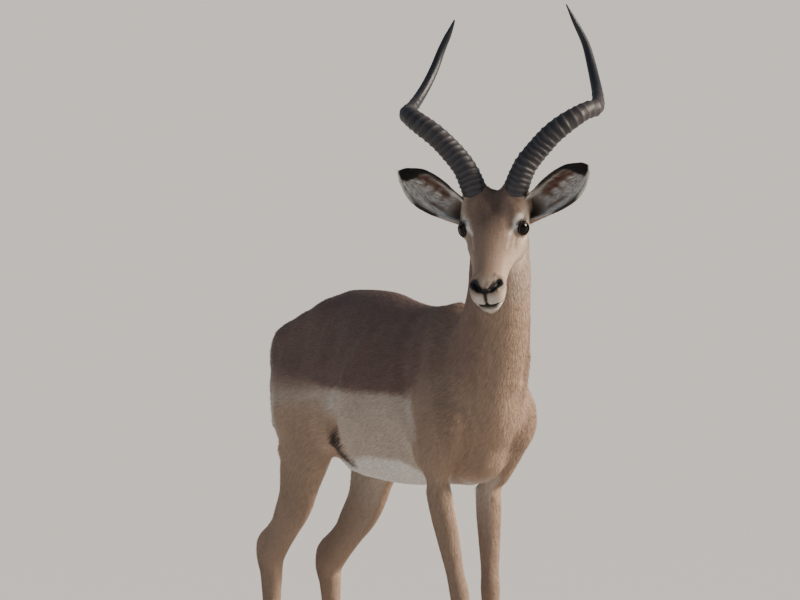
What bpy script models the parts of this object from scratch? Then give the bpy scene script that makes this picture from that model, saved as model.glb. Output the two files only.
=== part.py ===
"""An impala ram at life size, standing still with its head turned to its right.

Metres, +Z up. The ram faces -Y and its right side is -X. The origin is on the floor, under the
middle of its box. The body is lofted in masses, joined, smoothed and then parted by thin cuts;
horns, ears, eyes and hoof claws are fitted against it with a small gap.
"""

import math

import bmesh
import bpy
import numpy as np
from mathutils import Matrix, Vector

GAP = 0.0004  # left between pieces that touch
VOXEL = 0.0055  # size of the grid that joins the masses of the body
BODY_TRIANGLES = 2900
SMOOTHING = 60  # passes over the joined skin
STEP_ALONG = 0.014  # between the rings of a loft
LEFT, RIGHT = 1, -1  # the sign of X on each side

# The places below are measured from the floor under the middle of the back; the origin is moved to
# the middle of the box last.
BOX_MIDDLE = Vector((-0.01125, -0.07685, 0))

# Head: its place, and how it is turned
POLL = Vector((-0.056, -0.492, 1.119))
HEAD_TURN = math.radians(41.4)  # to the ram's right
HEAD_DROP = math.radians(45.8)  # of the nose line below level
HEAD_ROLL = math.radians(2.1)  # its left side raised
HORN_MIDDLE = (0, 0.018, 0.004)  # between the horns' feet: out, along the nose line, up from it
EYE_PLACE = (0.0525, 0.088, -0.027)
EYE_RADIUS = 0.0175
EAR_SEAT = (0.050, 0.034, -0.036)

# Legs: the middle of each joint from the top down, outward, back and up
FORE_JOINTS = {
    RIGHT: ((0.072, -0.284, 0.520), (0.047, -0.328, 0.305), (0.041, -0.371, 0.088), (0.040, -0.388, 0.040)),
    LEFT: ((0.064, -0.250, 0.520), (0.052, -0.279, 0.305), (0.046, -0.294, 0.088), (0.045, -0.311, 0.040)),
}
HIND_JOINTS = {
    RIGHT: (
        (0.084, 0.238, 0.585),
        (0.080, 0.296, 0.454),
        (0.071, 0.424, 0.318),
        (0.070, 0.416, 0.092),
        (0.069, 0.400, 0.040),
    ),
    LEFT: (
        (0.084, 0.226, 0.585),
        (0.078, 0.285, 0.443),
        (0.067, 0.424, 0.299),
        (0.068, 0.403, 0.092),
        (0.068, 0.386, 0.040),
    ),
}
CLAW_SPREAD = 0.0245  # from the middle of one claw to the middle of the other
CLAW = (  # rows of fore shift, height, half width, fore, back
    (0.000, 0.0440, 0.0085, 0.012, 0.012),
    (0.003, 0.0360, 0.0104, 0.017, 0.017),
    (0.008, 0.0200, 0.0112, 0.024, 0.020),
    (0.012, 0.0040, 0.0114, 0.030, 0.020),
    (0.012, 0.0000, 0.0108, 0.029, 0.019),
)

# Each mass of the body: rows of x, y, z, half width, up or fore extent, down or back extent
TRUNK = (
    (0, 0.428, 0.755, 0.012, 0.020, 0.030),
    (0, 0.417, 0.755, 0.046, 0.052, 0.062),
    (0, 0.388, 0.745, 0.075, 0.082, 0.084),
    (0, 0.330, 0.728, 0.095, 0.132, 0.108),
    (0, 0.250, 0.712, 0.108, 0.176, 0.142),
    (0, 0.150, 0.700, 0.118, 0.196, 0.186),
    (0, 0.050, 0.690, 0.125, 0.204, 0.187),
    (0, -0.050, 0.680, 0.123, 0.197, 0.180),
    (0, -0.150, 0.672, 0.114, 0.202, 0.167),
    (0, -0.225, 0.662, 0.104, 0.232, 0.152),
    (0, -0.290, 0.655, 0.096, 0.205, 0.142),
    (0, -0.345, 0.650, 0.083, 0.170, 0.132),
    (0, -0.385, 0.638, 0.062, 0.104, 0.108),
    (0, -0.408, 0.625, 0.036, 0.060, 0.072),
    (0, -0.418, 0.618, 0.012, 0.018, 0.020),
)
NECK = (
    (0, -0.295, 0.600, 0.070, 0.110, 0.092),
    (0, -0.315, 0.680, 0.086, 0.122, 0.106),
    (0, -0.346, 0.755, 0.088, 0.110, 0.108),
    (-0.001, -0.382, 0.825, 0.075, 0.086, 0.095),
    (-0.005, -0.408, 0.900, 0.065, 0.072, 0.083),
    (-0.011, -0.424, 0.970, 0.062, 0.062, 0.074),
    (-0.020, -0.438, 1.025, 0.057, 0.054, 0.062),
    (-0.031, -0.453, 1.062, 0.045, 0.038, 0.048),
    (-0.038, -0.462, 1.080, 0.030, 0.020, 0.030),
)
SHOULDER = (
    (0.026, -0.225, 0.810, 0.016, 0.030, 0.030),
    (0.044, -0.245, 0.780, 0.030, 0.060, 0.060),
    (0.062, -0.280, 0.730, 0.038, 0.082, 0.078),
    (0.073, -0.303, 0.670, 0.038, 0.084, 0.090),
    (0.076, -0.300, 0.610, 0.034, 0.072, 0.084),
    (0.073, -0.286, 0.560, 0.027, 0.046, 0.054),
    (0.069, -0.272, 0.520, 0.019, 0.029, 0.034),
)
THIGH = (  # above the first joint of a hind leg
    (0.030, 0.240, 0.790, 0.026, 0.060, 0.080),
    (0.052, 0.250, 0.755, 0.042, 0.105, 0.125),
    (0.071, 0.252, 0.700, 0.050, 0.134, 0.154),
    (0.081, 0.247, 0.640, 0.046, 0.124, 0.150),
)
TAIL = (
    (0, 0.385, 0.818, 0.016, 0.014, 0.014),
    (0, 0.430, 0.806, 0.019, 0.013, 0.013),
    (0, 0.461, 0.755, 0.023, 0.013, 0.013),
    (0, 0.471, 0.680, 0.027, 0.014, 0.014),
    (0, 0.469, 0.600, 0.029, 0.014, 0.014),
    (0, 0.463, 0.535, 0.020, 0.010, 0.010),
    (0, 0.459, 0.503, 0.006, 0.004, 0.004),
)
# Head: rows of 0, distance along the nose line, height, half width, up, down, narrowing of the jaw
HEAD = (
    (0, -0.028, -0.058, 0.026, 0.022, 0.026, 0.10),
    (0, -0.012, -0.054, 0.043, 0.038, 0.040, 0.10),
    (0, 0.018, -0.050, 0.057, 0.049, 0.060, 0.14),
    (0, 0.055, -0.050, 0.061, 0.055, 0.072, 0.20),
    (0, 0.085, -0.050, 0.061, 0.055, 0.075, 0.24),
    (0, 0.112, -0.050, 0.055, 0.050, 0.066, 0.32),
    (0, 0.140, -0.050, 0.046, 0.043, 0.052, 0.42),
    (0, 0.170, -0.050, 0.0395, 0.037, 0.041, 0.46),
    (0, 0.200, -0.050, 0.0360, 0.033, 0.036, 0.36),
    (0, 0.226, -0.050, 0.0360, 0.029, 0.034, 0.26),
    (0, 0.244, -0.052, 0.0325, 0.024, 0.029, 0.22),
    (0, 0.256, -0.054, 0.0235, 0.016, 0.019, 0.20),
    (0, 0.261, -0.055, 0.0080, 0.005, 0.006, 0.00),
)
# A leg between its joints: rows of the way from joint to joint, half width, fore, back
FORE_SECTIONS = (
    (0.00, 0.0255, 0.0340, 0.0375),
    (0.30, 0.0245, 0.0312, 0.0335),
    (0.60, 0.0212, 0.0258, 0.0265),
    (0.85, 0.0190, 0.0214, 0.0216),
    (1.00, 0.0205, 0.0238, 0.0226),
    (1.14, 0.0180, 0.0204, 0.0206),
    (1.35, 0.0140, 0.0160, 0.0170),
    (1.70, 0.0125, 0.0140, 0.0155),
    (1.90, 0.0140, 0.0150, 0.0170),
    (2.00, 0.0160, 0.0175, 0.0195),
    (2.40, 0.0140, 0.0150, 0.0155),
    (2.80, 0.0175, 0.0180, 0.0185),
    (3.00, 0.0190, 0.0190, 0.0190),
)
HIND_SECTIONS = (
    (0.00, 0.0380, 0.096, 0.106),
    (0.50, 0.0325, 0.074, 0.087),
    (1.00, 0.0275, 0.054, 0.066),
    (1.40, 0.0236, 0.041, 0.049),
    (1.75, 0.0220, 0.031, 0.035),
    (2.00, 0.0245, 0.031, 0.032),
    (2.14, 0.0225, 0.027, 0.030),
    (2.30, 0.0198, 0.0235, 0.0285),
    (2.55, 0.0175, 0.0203, 0.0255),
    (2.85, 0.0163, 0.0184, 0.0216),
    (3.00, 0.0170, 0.0185, 0.0210),
    (3.40, 0.0145, 0.0152, 0.0158),
    (3.80, 0.0178, 0.0182, 0.0188),
    (4.00, 0.0192, 0.0192, 0.0192),
)
# Horn: out, up and ahead of the middle between the feet, as a level head has it, and its radius
HORN = (
    (0.034, -0.024, -0.004, 0.0240),
    (0.041, 0.002, 0.000, 0.0240),
    (0.050, 0.025, -0.001, 0.0235),
    (0.060, 0.046, -0.003, 0.0225),
    (0.077, 0.069, -0.008, 0.0220),
    (0.094, 0.088, -0.012, 0.0215),
    (0.115, 0.109, -0.015, 0.0208),
    (0.137, 0.126, -0.021, 0.0200),
    (0.158, 0.140, -0.032, 0.0190),
    (0.176, 0.151, -0.052, 0.0172),
    (0.190, 0.156, -0.084, 0.0150),
    (0.188, 0.167, -0.120, 0.0125),
    (0.180, 0.187, -0.156, 0.0110),
    (0.170, 0.212, -0.186, 0.0100),
    (0.160, 0.240, -0.210, 0.0092),
    (0.145, 0.284, -0.231, 0.0075),
    (0.125, 0.326, -0.236, 0.0052),
    (0.109, 0.362, -0.232, 0.0016),
)
HORN_SPAN = {LEFT: 1.0, RIGHT: 0.955}  # of that curve, as the right one is a little shorter
HORN_STEP = 0.0118  # two steps make one ring
HORN_RING_HEIGHT = 0.0013
HORN_RINGED = 0.64  # of the horn's length, from its foot
# Ear: out, up and ahead of the middle between the horns' feet, as a level head has it
EAR_FOOT = (0.056, -0.047, -0.012)
EAR_TIP = (0.192, 0.036, 0.020)
EAR_SECTIONS = (  # rows of the way to the tip, shift of the middle, radius and half angle of its curl
    (0.00, 0.000, 0.020, 125),
    (0.15, 0.000, 0.024, 112),
    (0.30, 0.000, 0.029, 88),
    (0.48, 0.001, 0.039, 65),
    (0.64, 0.002, 0.045, 53),
    (0.78, 0.004, 0.045, 43),
    (0.89, 0.006, 0.036, 34),
    (0.96, 0.008, 0.026, 26),
    (1.00, 0.009, 0.014, 16),
)
EAR_THICKNESS = 0.0036

LOOKS = {  # colour and roughness, by how the name of a piece starts
    "trunk": ((0.33, 0.17, 0.09, 1), 0.8),
    "neck": ((0.40, 0.21, 0.11, 1), 0.8),
    "head": ((0.40, 0.21, 0.11, 1), 0.8),
    "tail": ((0.72, 0.68, 0.62, 1), 0.8),
    "fore": ((0.40, 0.22, 0.12, 1), 0.8),
    "hind": ((0.40, 0.22, 0.12, 1), 0.8),
    "gaskin": ((0.42, 0.24, 0.13, 1), 0.8),
    "ear": ((0.45, 0.33, 0.25, 1), 0.8),
    "eye": ((0.012, 0.008, 0.006, 1), 0.1),
    "horn": ((0.045, 0.045, 0.050, 1), 0.5),
    "hoof": ((0.012, 0.011, 0.010, 1), 0.4),
}


def collection(name):
    made = bpy.data.collections.new(name)
    bpy.context.scene.collection.children.link(made)
    return made


def material(name, colour, roughness):
    made = bpy.data.materials.new(name)
    made.use_nodes = True
    shader = made.node_tree.nodes["Principled BSDF"]
    shader.inputs["Base Color"].default_value = colour
    shader.inputs["Roughness"].default_value = roughness
    shader.inputs["Metallic"].default_value = 0.0
    return made


def new_object(name, mesh, group):
    made = bpy.data.objects.new(name, mesh)
    group.objects.link(made)
    return made


def mesh_from(form, name):
    """A mesh of a bmesh, with its faces turned outward."""
    bmesh.ops.recalc_face_normals(form, faces=form.faces)
    mesh = bpy.data.meshes.new(name)
    form.to_mesh(mesh)
    form.free()
    return mesh


def settle(thing, name=None):
    """Puts an object's modifiers into its mesh."""
    bpy.context.view_layer.update()
    graph = bpy.context.evaluated_depsgraph_get()
    mesh = bpy.data.meshes.new_from_object(thing.evaluated_get(graph))
    thing.modifiers.clear()
    thing.data = mesh
    if name:
        thing.name = name


def rows_along(stations, step=STEP_ALONG):
    """Rows about every step along a smooth curve through the stations, whose first three are a place."""
    rows = np.array(stations, float)
    runs = np.linalg.norm(np.diff(rows[:, :3], axis=0), axis=1)
    at = np.concatenate([[0.0], np.cumsum(runs)])
    slope = np.gradient(rows, at, axis=0)
    where = np.linspace(0, at[-1], max(3, round(at[-1] / step) + 1))
    k = np.clip(np.searchsorted(at, where, side="right") - 1, 0, len(at) - 2)
    span = (at[k + 1] - at[k])[:, None]
    t = (where - at[k])[:, None] / span
    start = (1 + 2 * t) * (1 - t) ** 2 * rows[k] + t * (1 - t) ** 2 * span * slope[k]
    end = t**2 * (3 - 2 * t) * rows[k + 1] - t**2 * (1 - t) * span * slope[k + 1]
    return start + end


def loft(form, rows, side, sides=20, pinch_up=0.0, pinch_down=0.0, along=None, bulge=2.0):
    """A closed skin over rings: a row is x, y, z, half width, extent up, extent down, narrowing below.

    The rings lie square to the path, or to along, and bulge is the exponent of their outline.
    """
    places = rows[:, :3]
    tangents = np.gradient(places, axis=0)
    rings = []
    for place, tangent, (width, up, down, *narrowing) in zip(places, tangents, rows[:, 3:]):
        onward = Vector(along if along else tangent).normalized()
        across = (Vector(side) - onward * onward.dot(Vector(side))).normalized()
        above = onward.cross(across)
        ring = []
        for i in range(sides):
            turn = 2 * math.pi * i / sides
            high, out = math.cos(turn), math.sin(turn)
            below = narrowing[0] if narrowing else pinch_down
            pinch = 1 - (pinch_up if high > 0 else below) * abs(high) ** 1.5
            high = math.copysign(abs(high) ** (2 / bulge), high)
            out = math.copysign(abs(out) ** (2 / bulge), out)
            point = across * (width * out * pinch) + above * (high * (up if high > 0 else down))
            ring.append(form.verts.new(Vector(place) + point))
        rings.append(ring)
    for low, top in zip(rings, rings[1:]):
        for i in range(sides):
            j = (i + 1) % sides
            form.faces.new((low[i], low[j], top[j], top[i]))
    form.faces.new(rings[0])
    form.faces.new(rings[-1])


def ball(form, place, radii, turn=None, segments=24):
    """An ellipsoid, whose own axes are turned by a 3x3 matrix."""
    frame = Matrix.Translation(place) @ (turn.to_4x4() if turn else Matrix()) @ Matrix.Diagonal((*radii, 1))
    bmesh.ops.create_uvsphere(form, u_segments=segments, v_segments=segments // 2, radius=1, matrix=frame)


def mirrored(stations, side):
    return [(row[0] * side, *row[1:]) for row in stations]


def head_frames():
    """Columns of the first: the head's left, its nose line, and up from it. Of the second: its left,
    up and ahead while its nose line is level."""
    level = Matrix.Rotation(-HEAD_TURN, 3, "Z")
    level = Matrix.Rotation(HEAD_ROLL, 3, level @ Vector((0, -1, 0))) @ level
    dropped = Matrix.Rotation(HEAD_DROP, 3, level @ Vector((1, 0, 0))) @ level
    left, ahead, up = Vector((1, 0, 0)), Vector((0, -1, 0)), Vector((0, 0, 1))
    own = Matrix((dropped @ left, dropped @ ahead, dropped @ up)).transposed()
    return own, Matrix((level @ left, level @ up, level @ ahead)).transposed()


HEAD_AXES, LEVEL_AXES = head_frames()


def on_head(out, along, up):
    return POLL + HEAD_AXES @ Vector((out, along, up))


def by_horns(out, up, ahead):
    return on_head(*HORN_MIDDLE) + LEVEL_AXES @ Vector((out, up, ahead))


def leg_rows(joints, sections, side, above=()):
    """Rows of a leg, from the mass above it, its joints and its sections, placed between the joints."""
    points = np.array(joints) * (side, 1, 1)
    rows = mirrored(above, side)
    for way, width, fore, back in sections:
        k = min(int(way), len(points) - 2)
        place = points[k] + (points[k + 1] - points[k]) * (way - k)
        rows.append((*place, width, fore, back))
    return rows_along(rows)


def add_trunk(form):
    loft(form, rows_along(TRUNK), (1, 0, 0), 32, pinch_up=0.24, pinch_down=0.32)
    ball(form, (0, -0.325, 0.595), (0.060, 0.066, 0.075))  # breast
    ball(form, (0, 0.175, 0.535), (0.022, 0.050, 0.024))  # sheath
    ball(form, (0, 0.262, 0.580), (0.028, 0.030, 0.046))  # scrotum
    for side in (LEFT, RIGHT):
        ball(form, (0.038 * side, 0.215, 0.798), (0.050, 0.095, 0.079))  # croup
        ball(form, (0.046 * side, 0.290, 0.772), (0.046, 0.078, 0.079))  # rump
        ball(form, (0.054 * side, 0.346, 0.743), (0.047, 0.084, 0.086))  # buttock
        ball(form, (0.080 * side, 0.130, 0.680), (0.036, 0.090, 0.110))  # loin and flank


def add_neck(form):
    loft(form, rows_along(NECK), (1, 0, 0), 24, pinch_up=0.22, pinch_down=0.10)


def add_fore_leg(form, side):
    loft(form, rows_along(mirrored(SHOULDER, side)), (1, 0, 0), 20)
    ball(form, (0.074 * side, -0.345, 0.650), (0.042, 0.050, 0.070))  # point of the shoulder
    ball(form, (0.076 * side, -0.250, 0.590), (0.028, 0.050, 0.060))  # back of the upper arm
    loft(form, leg_rows(FORE_JOINTS[side], FORE_SECTIONS, side), (1, 0, 0), 16)


def add_hind_leg(form, side):
    joints = HIND_JOINTS[side]
    loft(form, leg_rows(joints, HIND_SECTIONS, side, THIGH), (1, 0, 0), 20)
    out, back, up = joints[2]
    heel = (
        (out + 0.008, back - 0.090, up + 0.125, 0.010, 0.016, 0.016),
        (out + 0.005, back - 0.012, up + 0.068, 0.009, 0.016, 0.016),
        (out + 0.002, back + 0.044, up + 0.026, 0.011, 0.014, 0.014),
        (out, back + 0.042, up - 0.002, 0.0115, 0.016, 0.012),
        (out, back + 0.022, up - 0.040, 0.011, 0.014, 0.010),
        (out, back + 0.008, up - 0.085, 0.009, 0.010, 0.009),
    )
    loft(form, rows_along(mirrored(heel, side)), (1, 0, 0), 12)
    ankle = joints[3]
    brush = (ankle[0] * side, ankle[1] + 0.024, ankle[2] + 0.076)
    ball(form, brush, (0.011, 0.014, 0.030))  # tuft over the gland


def add_head(form):
    rows = rows_along(HEAD, 0.010)
    for row in rows:
        row[:3] = on_head(*row[:3])
    loft(form, rows, HEAD_AXES.col[0], 24, pinch_up=0.06, bulge=2.25)
    ball(form, on_head(0, 0.230, -0.088), (0.026, 0.027, 0.019), HEAD_AXES)  # chin
    ball(form, on_head(0, 0.050, -0.092), (0.040, 0.050, 0.044), HEAD_AXES)  # throat
    for side in (LEFT, RIGHT):
        for place, radii in (
            ((0.0465, 0.078, -0.027), (0.0240, 0.036, 0.024)),  # orbit
            ((0.034, 0.075, -0.080), (0.020, 0.046, 0.038)),  # cheek
            ((0.037, 0.020, -0.012), (0.028, 0.034, 0.024)),  # foot of the horn
            ((0.0185, 0.236, -0.044), (0.0170, 0.021, 0.020)),  # nostril
            ((0.0160, 0.228, -0.066), (0.0190, 0.028, 0.017)),  # upper lip
            (EAR_SEAT, (0.022, 0.026, 0.026)),
        ):
            out, along, up = place
            ball(form, on_head(out * side, along, up), radii, HEAD_AXES)


def body_mesh():
    form = bmesh.new()
    add_trunk(form)
    add_neck(form)
    add_head(form)
    for side in (LEFT, RIGHT):
        add_fore_leg(form, side)
        add_hind_leg(form, side)
    return mesh_from(form, "masses")


def softness(place):
    """How much the joined skin is smoothed: fully on the trunk, little on the head and legs."""
    from_head = (Vector(place) - on_head(0, 0.10, -0.05)).length
    head = min(1.0, max(0.0, (from_head - 0.14) / 0.10))
    leg = min(1.0, max(0.0, (place[2] - 0.45) / 0.09))
    return 0.10 + 0.90 * min(head, leg)


def body(group):
    """The flesh in one piece: its masses joined, smoothed and thinned."""
    flesh = new_object("flesh", body_mesh(), group)
    join = flesh.modifiers.new("join", "REMESH")
    join.mode = "VOXEL"
    join.voxel_size = VOXEL
    settle(flesh)
    weights = flesh.vertex_groups.new(name="soft")
    for vertex in flesh.data.vertices:
        weights.add([vertex.index], softness(vertex.co), "REPLACE")
    smooth = flesh.modifiers.new("smooth", "SMOOTH")
    smooth.factor = 0.5
    smooth.iterations = SMOOTHING
    smooth.vertex_group = "soft"
    settle(flesh)
    thin = flesh.modifiers.new("thin", "DECIMATE")
    thin.ratio = BODY_TRIANGLES / (2 * len(flesh.data.polygons))
    settle(flesh)
    return flesh


def horn(side, group):
    """A tube along the horn's curve, with a ring at every second step of its lower part."""
    places = [(*by_horns(out * side, up, ahead), radius) for out, up, ahead, radius in HORN]
    rows = rows_along(places, HORN_STEP)
    rows = rows[: round(len(rows) * HORN_SPAN[side])]
    if side == RIGHT:
        rows[-1, 3] = HORN[-1][3]
    way = np.linspace(0, 1, len(rows))
    fade = np.clip((HORN_RINGED - way) / 0.12, 0, 1)
    radius = rows[:, 3] + HORN_RING_HEIGHT * fade * np.where(np.arange(len(rows)) % 2, 1, -1)
    form = bmesh.new()
    loft(form, np.column_stack([rows[:, :3], radius, radius * 1.08, radius * 1.08]), (1, 0, 0), 8)
    return new_object("horn_left" if side == LEFT else "horn_right", mesh_from(form, "horn"), group)


def tail(group):
    form = bmesh.new()
    loft(form, rows_along(TAIL), (1, 0, 0), 12)
    return new_object("tail", mesh_from(form, "tail"), group)


def ear(side, group):
    """A leaf curled along its length, its hollow facing ahead, made thick by a Solidify."""
    foot = by_horns(EAR_FOOT[0] * side, *EAR_FOOT[1:])
    tip = by_horns(EAR_TIP[0] * side, *EAR_TIP[1:])
    onward = (tip - foot).normalized()
    ahead = LEVEL_AXES.col[2]
    ahead = (ahead - onward * onward.dot(ahead)).normalized()
    upward = ahead.cross(onward) if side == LEFT else onward.cross(ahead)
    stations = [(way, 0, 0, shift, radius, angle) for way, shift, radius, angle in EAR_SECTIONS]
    curl = rows_along(stations, 1 / 11)
    form = bmesh.new()
    grid = []
    for way, _, _, shift, radius, angle in curl:
        line = []
        for across in np.linspace(-1, 1, 7):
            turn = math.radians(angle) * across
            out = upward * (shift + radius * math.sin(turn)) + ahead * (radius * (0.55 - math.cos(turn)))
            line.append(form.verts.new(foot + (tip - foot) * way + out))
        grid.append(line)
    for low, top in zip(grid, grid[1:]):
        for i in range(len(low) - 1):
            form.faces.new((low[i], low[i + 1], top[i + 1], top[i]))
    made = new_object("ear_left" if side == LEFT else "ear_right", mesh_from(form, "ear"), group)
    wall = made.modifiers.new("wall", "SOLIDIFY")
    wall.thickness = EAR_THICKNESS
    wall.offset = 0
    settle(made)
    return made


def claws(group):
    """Two claws under each leg, their soles flat on the floor."""
    made = []
    for joints, leg in ((FORE_JOINTS, "fore"), (HIND_JOINTS, "hind")):
        for side in (LEFT, RIGHT):
            out, back, _ = joints[side][-1]
            for half, name in ((1, "outer"), (-1, "inner")):
                place = (out + half * CLAW_SPREAD / 2) * side
                rows = [(place, back - fore, high, *extents) for fore, high, *extents in CLAW]
                form = bmesh.new()
                loft(form, np.array(rows), (1, 0, 0), 12, pinch_up=0.62, along=(0, 0, -1))
                hand = "left" if side == LEFT else "right"
                made.append(new_object(f"hoof_{leg}_{hand}_{name}", mesh_from(form, "claw"), group))
    return made


def eyes(group):
    made = []
    out, along, up = EYE_PLACE
    for side, name in ((LEFT, "eye_left"), (RIGHT, "eye_right")):
        form = bmesh.new()
        ball(form, on_head(out * side, along, up), [EYE_RADIUS] * 3, HEAD_AXES, 16)
        made.append(new_object(name, mesh_from(form, "eye"), group))
    return made


def grown(thing, group, by=GAP):
    """A cutter: the same shape, moved out all over."""
    form = bmesh.new()
    form.from_mesh(thing.data)
    form.normal_update()
    moved = [vertex.co + vertex.normal * by for vertex in form.verts]
    for vertex, place in zip(form.verts, moved):
        vertex.co = place
    made = new_object(thing.name + "_room", mesh_from(form, "room"), group)
    made.hide_render = True
    made.display_type = "WIRE"
    return made


def take_away(thing, cutter):
    cut = thing.modifiers.new("cut", "BOOLEAN")
    cut.operation = "DIFFERENCE"
    cut.object = cutter
    settle(thing)


def disc(place, normal, radius, group):
    """A thin round cutter, square to normal."""
    form = bmesh.new()
    turn = Vector(normal).to_track_quat("Z", "Y").to_matrix().to_4x4()
    frame = Matrix.Translation(place) @ turn
    bmesh.ops.create_cone(
        form, cap_ends=True, segments=32, radius1=radius, radius2=radius, depth=GAP, matrix=frame
    )
    made = new_object("parting", mesh_from(form, "parting"), group)
    made.hide_render = True
    made.display_type = "WIRE"
    return made


def partings():
    """Where the flesh is parted: a place, the direction square to the cut, and its radius."""
    nape = by_horns(0, -0.088, -0.020)
    cuts = [
        ((0, -0.345, 0.785), (0, -0.75, 0.66), 0.150),
        (nape, LEVEL_AXES @ Vector((0, 0.30, 0.95)), 0.125),
    ]
    for side in (LEFT, RIGHT):
        elbow, carpus, fetlock, _ = (Vector(joint) for joint in FORE_JOINTS[side])
        _, gaskin, hock, ankle, _ = (Vector(joint) for joint in HIND_JOINTS[side])
        for place, normal, radius in (
            (elbow + Vector((0, 0, -0.035)), (0, 0, 1), 0.050),
            (carpus, (0, 0, 1), 0.035),
            (fetlock, (0, 0, 1), 0.032),
            (gaskin + Vector((0, 0, 0.045)), (0, -0.35, 0.94), 0.110),
            (hock + Vector((0, 0, -0.004)), (0, 0.25, 0.97), 0.075),
            (ankle, (0, 0, 1), 0.034),
        ):
            cuts.append(((place[0] * side, place[1], place[2]), normal, radius))
    return cuts


def middles():
    """A place inside each piece of flesh, to name it by."""
    found = {
        "trunk": Vector((0, 0, 0.70)),
        "neck": Vector((-0.010, -0.415, 0.93)),
        "head": on_head(0, 0.13, -0.05),
    }
    for side, hand in ((LEFT, "left"), (RIGHT, "right")):
        for joints, first, names in (
            (FORE_JOINTS, 0, ("forearm", "fore_cannon", "fore_pastern")),
            (HIND_JOINTS, 1, ("gaskin", "hind_cannon", "hind_pastern")),
        ):
            points = [Vector(joint) for joint in joints[side][first:]]
            for low, top, name in zip(points, points[1:], names):
                middle = (low + top) / 2
                found[f"{name}_{hand}"] = Vector((middle.x * side, middle.y, middle.z))
    return found


def part_flesh(flesh, group, cutters):
    """Cuts the flesh with thin discs and gives each piece its own object."""
    for place, normal, radius in partings():
        take_away(flesh, disc(place, normal, radius, cutters))
    form = bmesh.new()
    form.from_mesh(flesh.data)
    form.verts.ensure_lookup_table()
    left, pieces = set(form.verts), []
    while left:
        reached = [left.pop()]
        for vertex in reached:
            for edge in vertex.link_edges:
                other = edge.other_vert(vertex)
                if other in left:
                    left.remove(other)
                    reached.append(other)
        pieces.append({vertex.index for vertex in reached})
    form.free()
    names = middles()
    made = []
    for piece in pieces:
        form = bmesh.new()
        form.from_mesh(flesh.data)
        form.verts.ensure_lookup_table()
        bmesh.ops.delete(form, geom=[v for v in form.verts if v.index not in piece], context="VERTS")
        low = Vector([min(v.co[k] for v in form.verts) for k in range(3)])
        top = Vector([max(v.co[k] for v in form.verts) for k in range(3)])
        name = min(names, key=lambda one: (names[one] - (low + top) / 2).length)
        made.append(new_object(name, mesh_from(form, name), group))
    bpy.data.objects.remove(flesh)
    return made


def finish(pieces):
    """Centres the ram over the origin, shades it smooth and gives every piece its own material."""
    for piece in pieces:
        piece.data.transform(Matrix.Translation(-BOX_MIDDLE))
        piece.data.shade_smooth()
        colour, roughness = next(look for start, look in LOOKS.items() if piece.name.startswith(start))
        piece.data.materials.clear()
        piece.data.materials.append(material(piece.name, colour, roughness))


for old in list(bpy.data.objects):
    bpy.data.objects.remove(old)
parts, cutters = collection("impala"), collection("cutters")
cutters.hide_render = True
flesh = body(parts)
made = eyes(parts)
for eye in made:
    take_away(flesh, grown(eye, cutters))
room = grown(flesh, cutters)
fitted = [tail(parts)] + claws(parts)
for side in (LEFT, RIGHT):
    fitted += [horn(side, parts), ear(side, parts)]
    take_away(fitted[-1], grown(fitted[-2], cutters))
for piece in fitted:
    take_away(piece, room)
finish(made + fitted + part_flesh(flesh, parts, cutters))
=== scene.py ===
"""An impala ram at life size, standing still with its head turned to its right.

Metres, +Z up. The ram faces -Y and its right side is -X. The sections follow the animal as it is
put together: hide, markings, eyes, horns, ears, hooves and coat, then the studio round it.
"""

import math

import bmesh
import bpy
import numpy as np
from mathutils import Matrix, Vector
from mathutils.bvhtree import BVHTree


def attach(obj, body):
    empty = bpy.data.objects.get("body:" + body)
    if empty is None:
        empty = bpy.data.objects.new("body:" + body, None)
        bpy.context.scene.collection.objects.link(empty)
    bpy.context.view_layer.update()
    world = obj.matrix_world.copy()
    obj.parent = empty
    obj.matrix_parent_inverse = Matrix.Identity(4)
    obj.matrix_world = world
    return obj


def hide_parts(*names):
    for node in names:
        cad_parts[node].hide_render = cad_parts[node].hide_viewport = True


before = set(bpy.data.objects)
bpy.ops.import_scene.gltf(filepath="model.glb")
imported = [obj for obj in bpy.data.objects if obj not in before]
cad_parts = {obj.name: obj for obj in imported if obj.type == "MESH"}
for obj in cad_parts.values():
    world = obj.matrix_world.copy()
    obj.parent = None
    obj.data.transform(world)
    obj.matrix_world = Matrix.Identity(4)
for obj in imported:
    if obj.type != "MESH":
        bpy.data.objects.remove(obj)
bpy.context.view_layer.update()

# ---------------------------------------------------------------------------------------------
# Hide. A skin drawn over the modelled muscles of trunk, neck, head, legs and tail, all one closed
# piece without seams. Masses of muscle and bone are lofted and joined on a fine grid, drawn in by the
# depth of the coat, and then pushed in or out where folds, lips, nostrils and lids show.
# ---------------------------------------------------------------------------------------------

LEFT, RIGHT = 1, -1  # the sign of X on each side
SIDES = ((LEFT, "left"), (RIGHT, "right"))
BOX_MIDDLE = Vector((-0.01125, -0.07685, 0))  # places below are from the floor under the mid back

POLL = Vector((-0.056, -0.492, 1.119))  # top of the skull, from where the head is measured
HEAD_TURN = math.radians(41.4)  # to its right
HEAD_DROP = math.radians(45.8)  # of the nose line below level
HEAD_ROLL = math.radians(2.1)
# Outward, along the nose line and up from the poll
HORN_MIDDLE = (0, 0.018, 0.004)
EYE_PLACE = (0.0525, 0.088, -0.027)
EAR_SEAT = (0.050, 0.034, -0.036)
EYE_RADIUS = 0.0175

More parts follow.
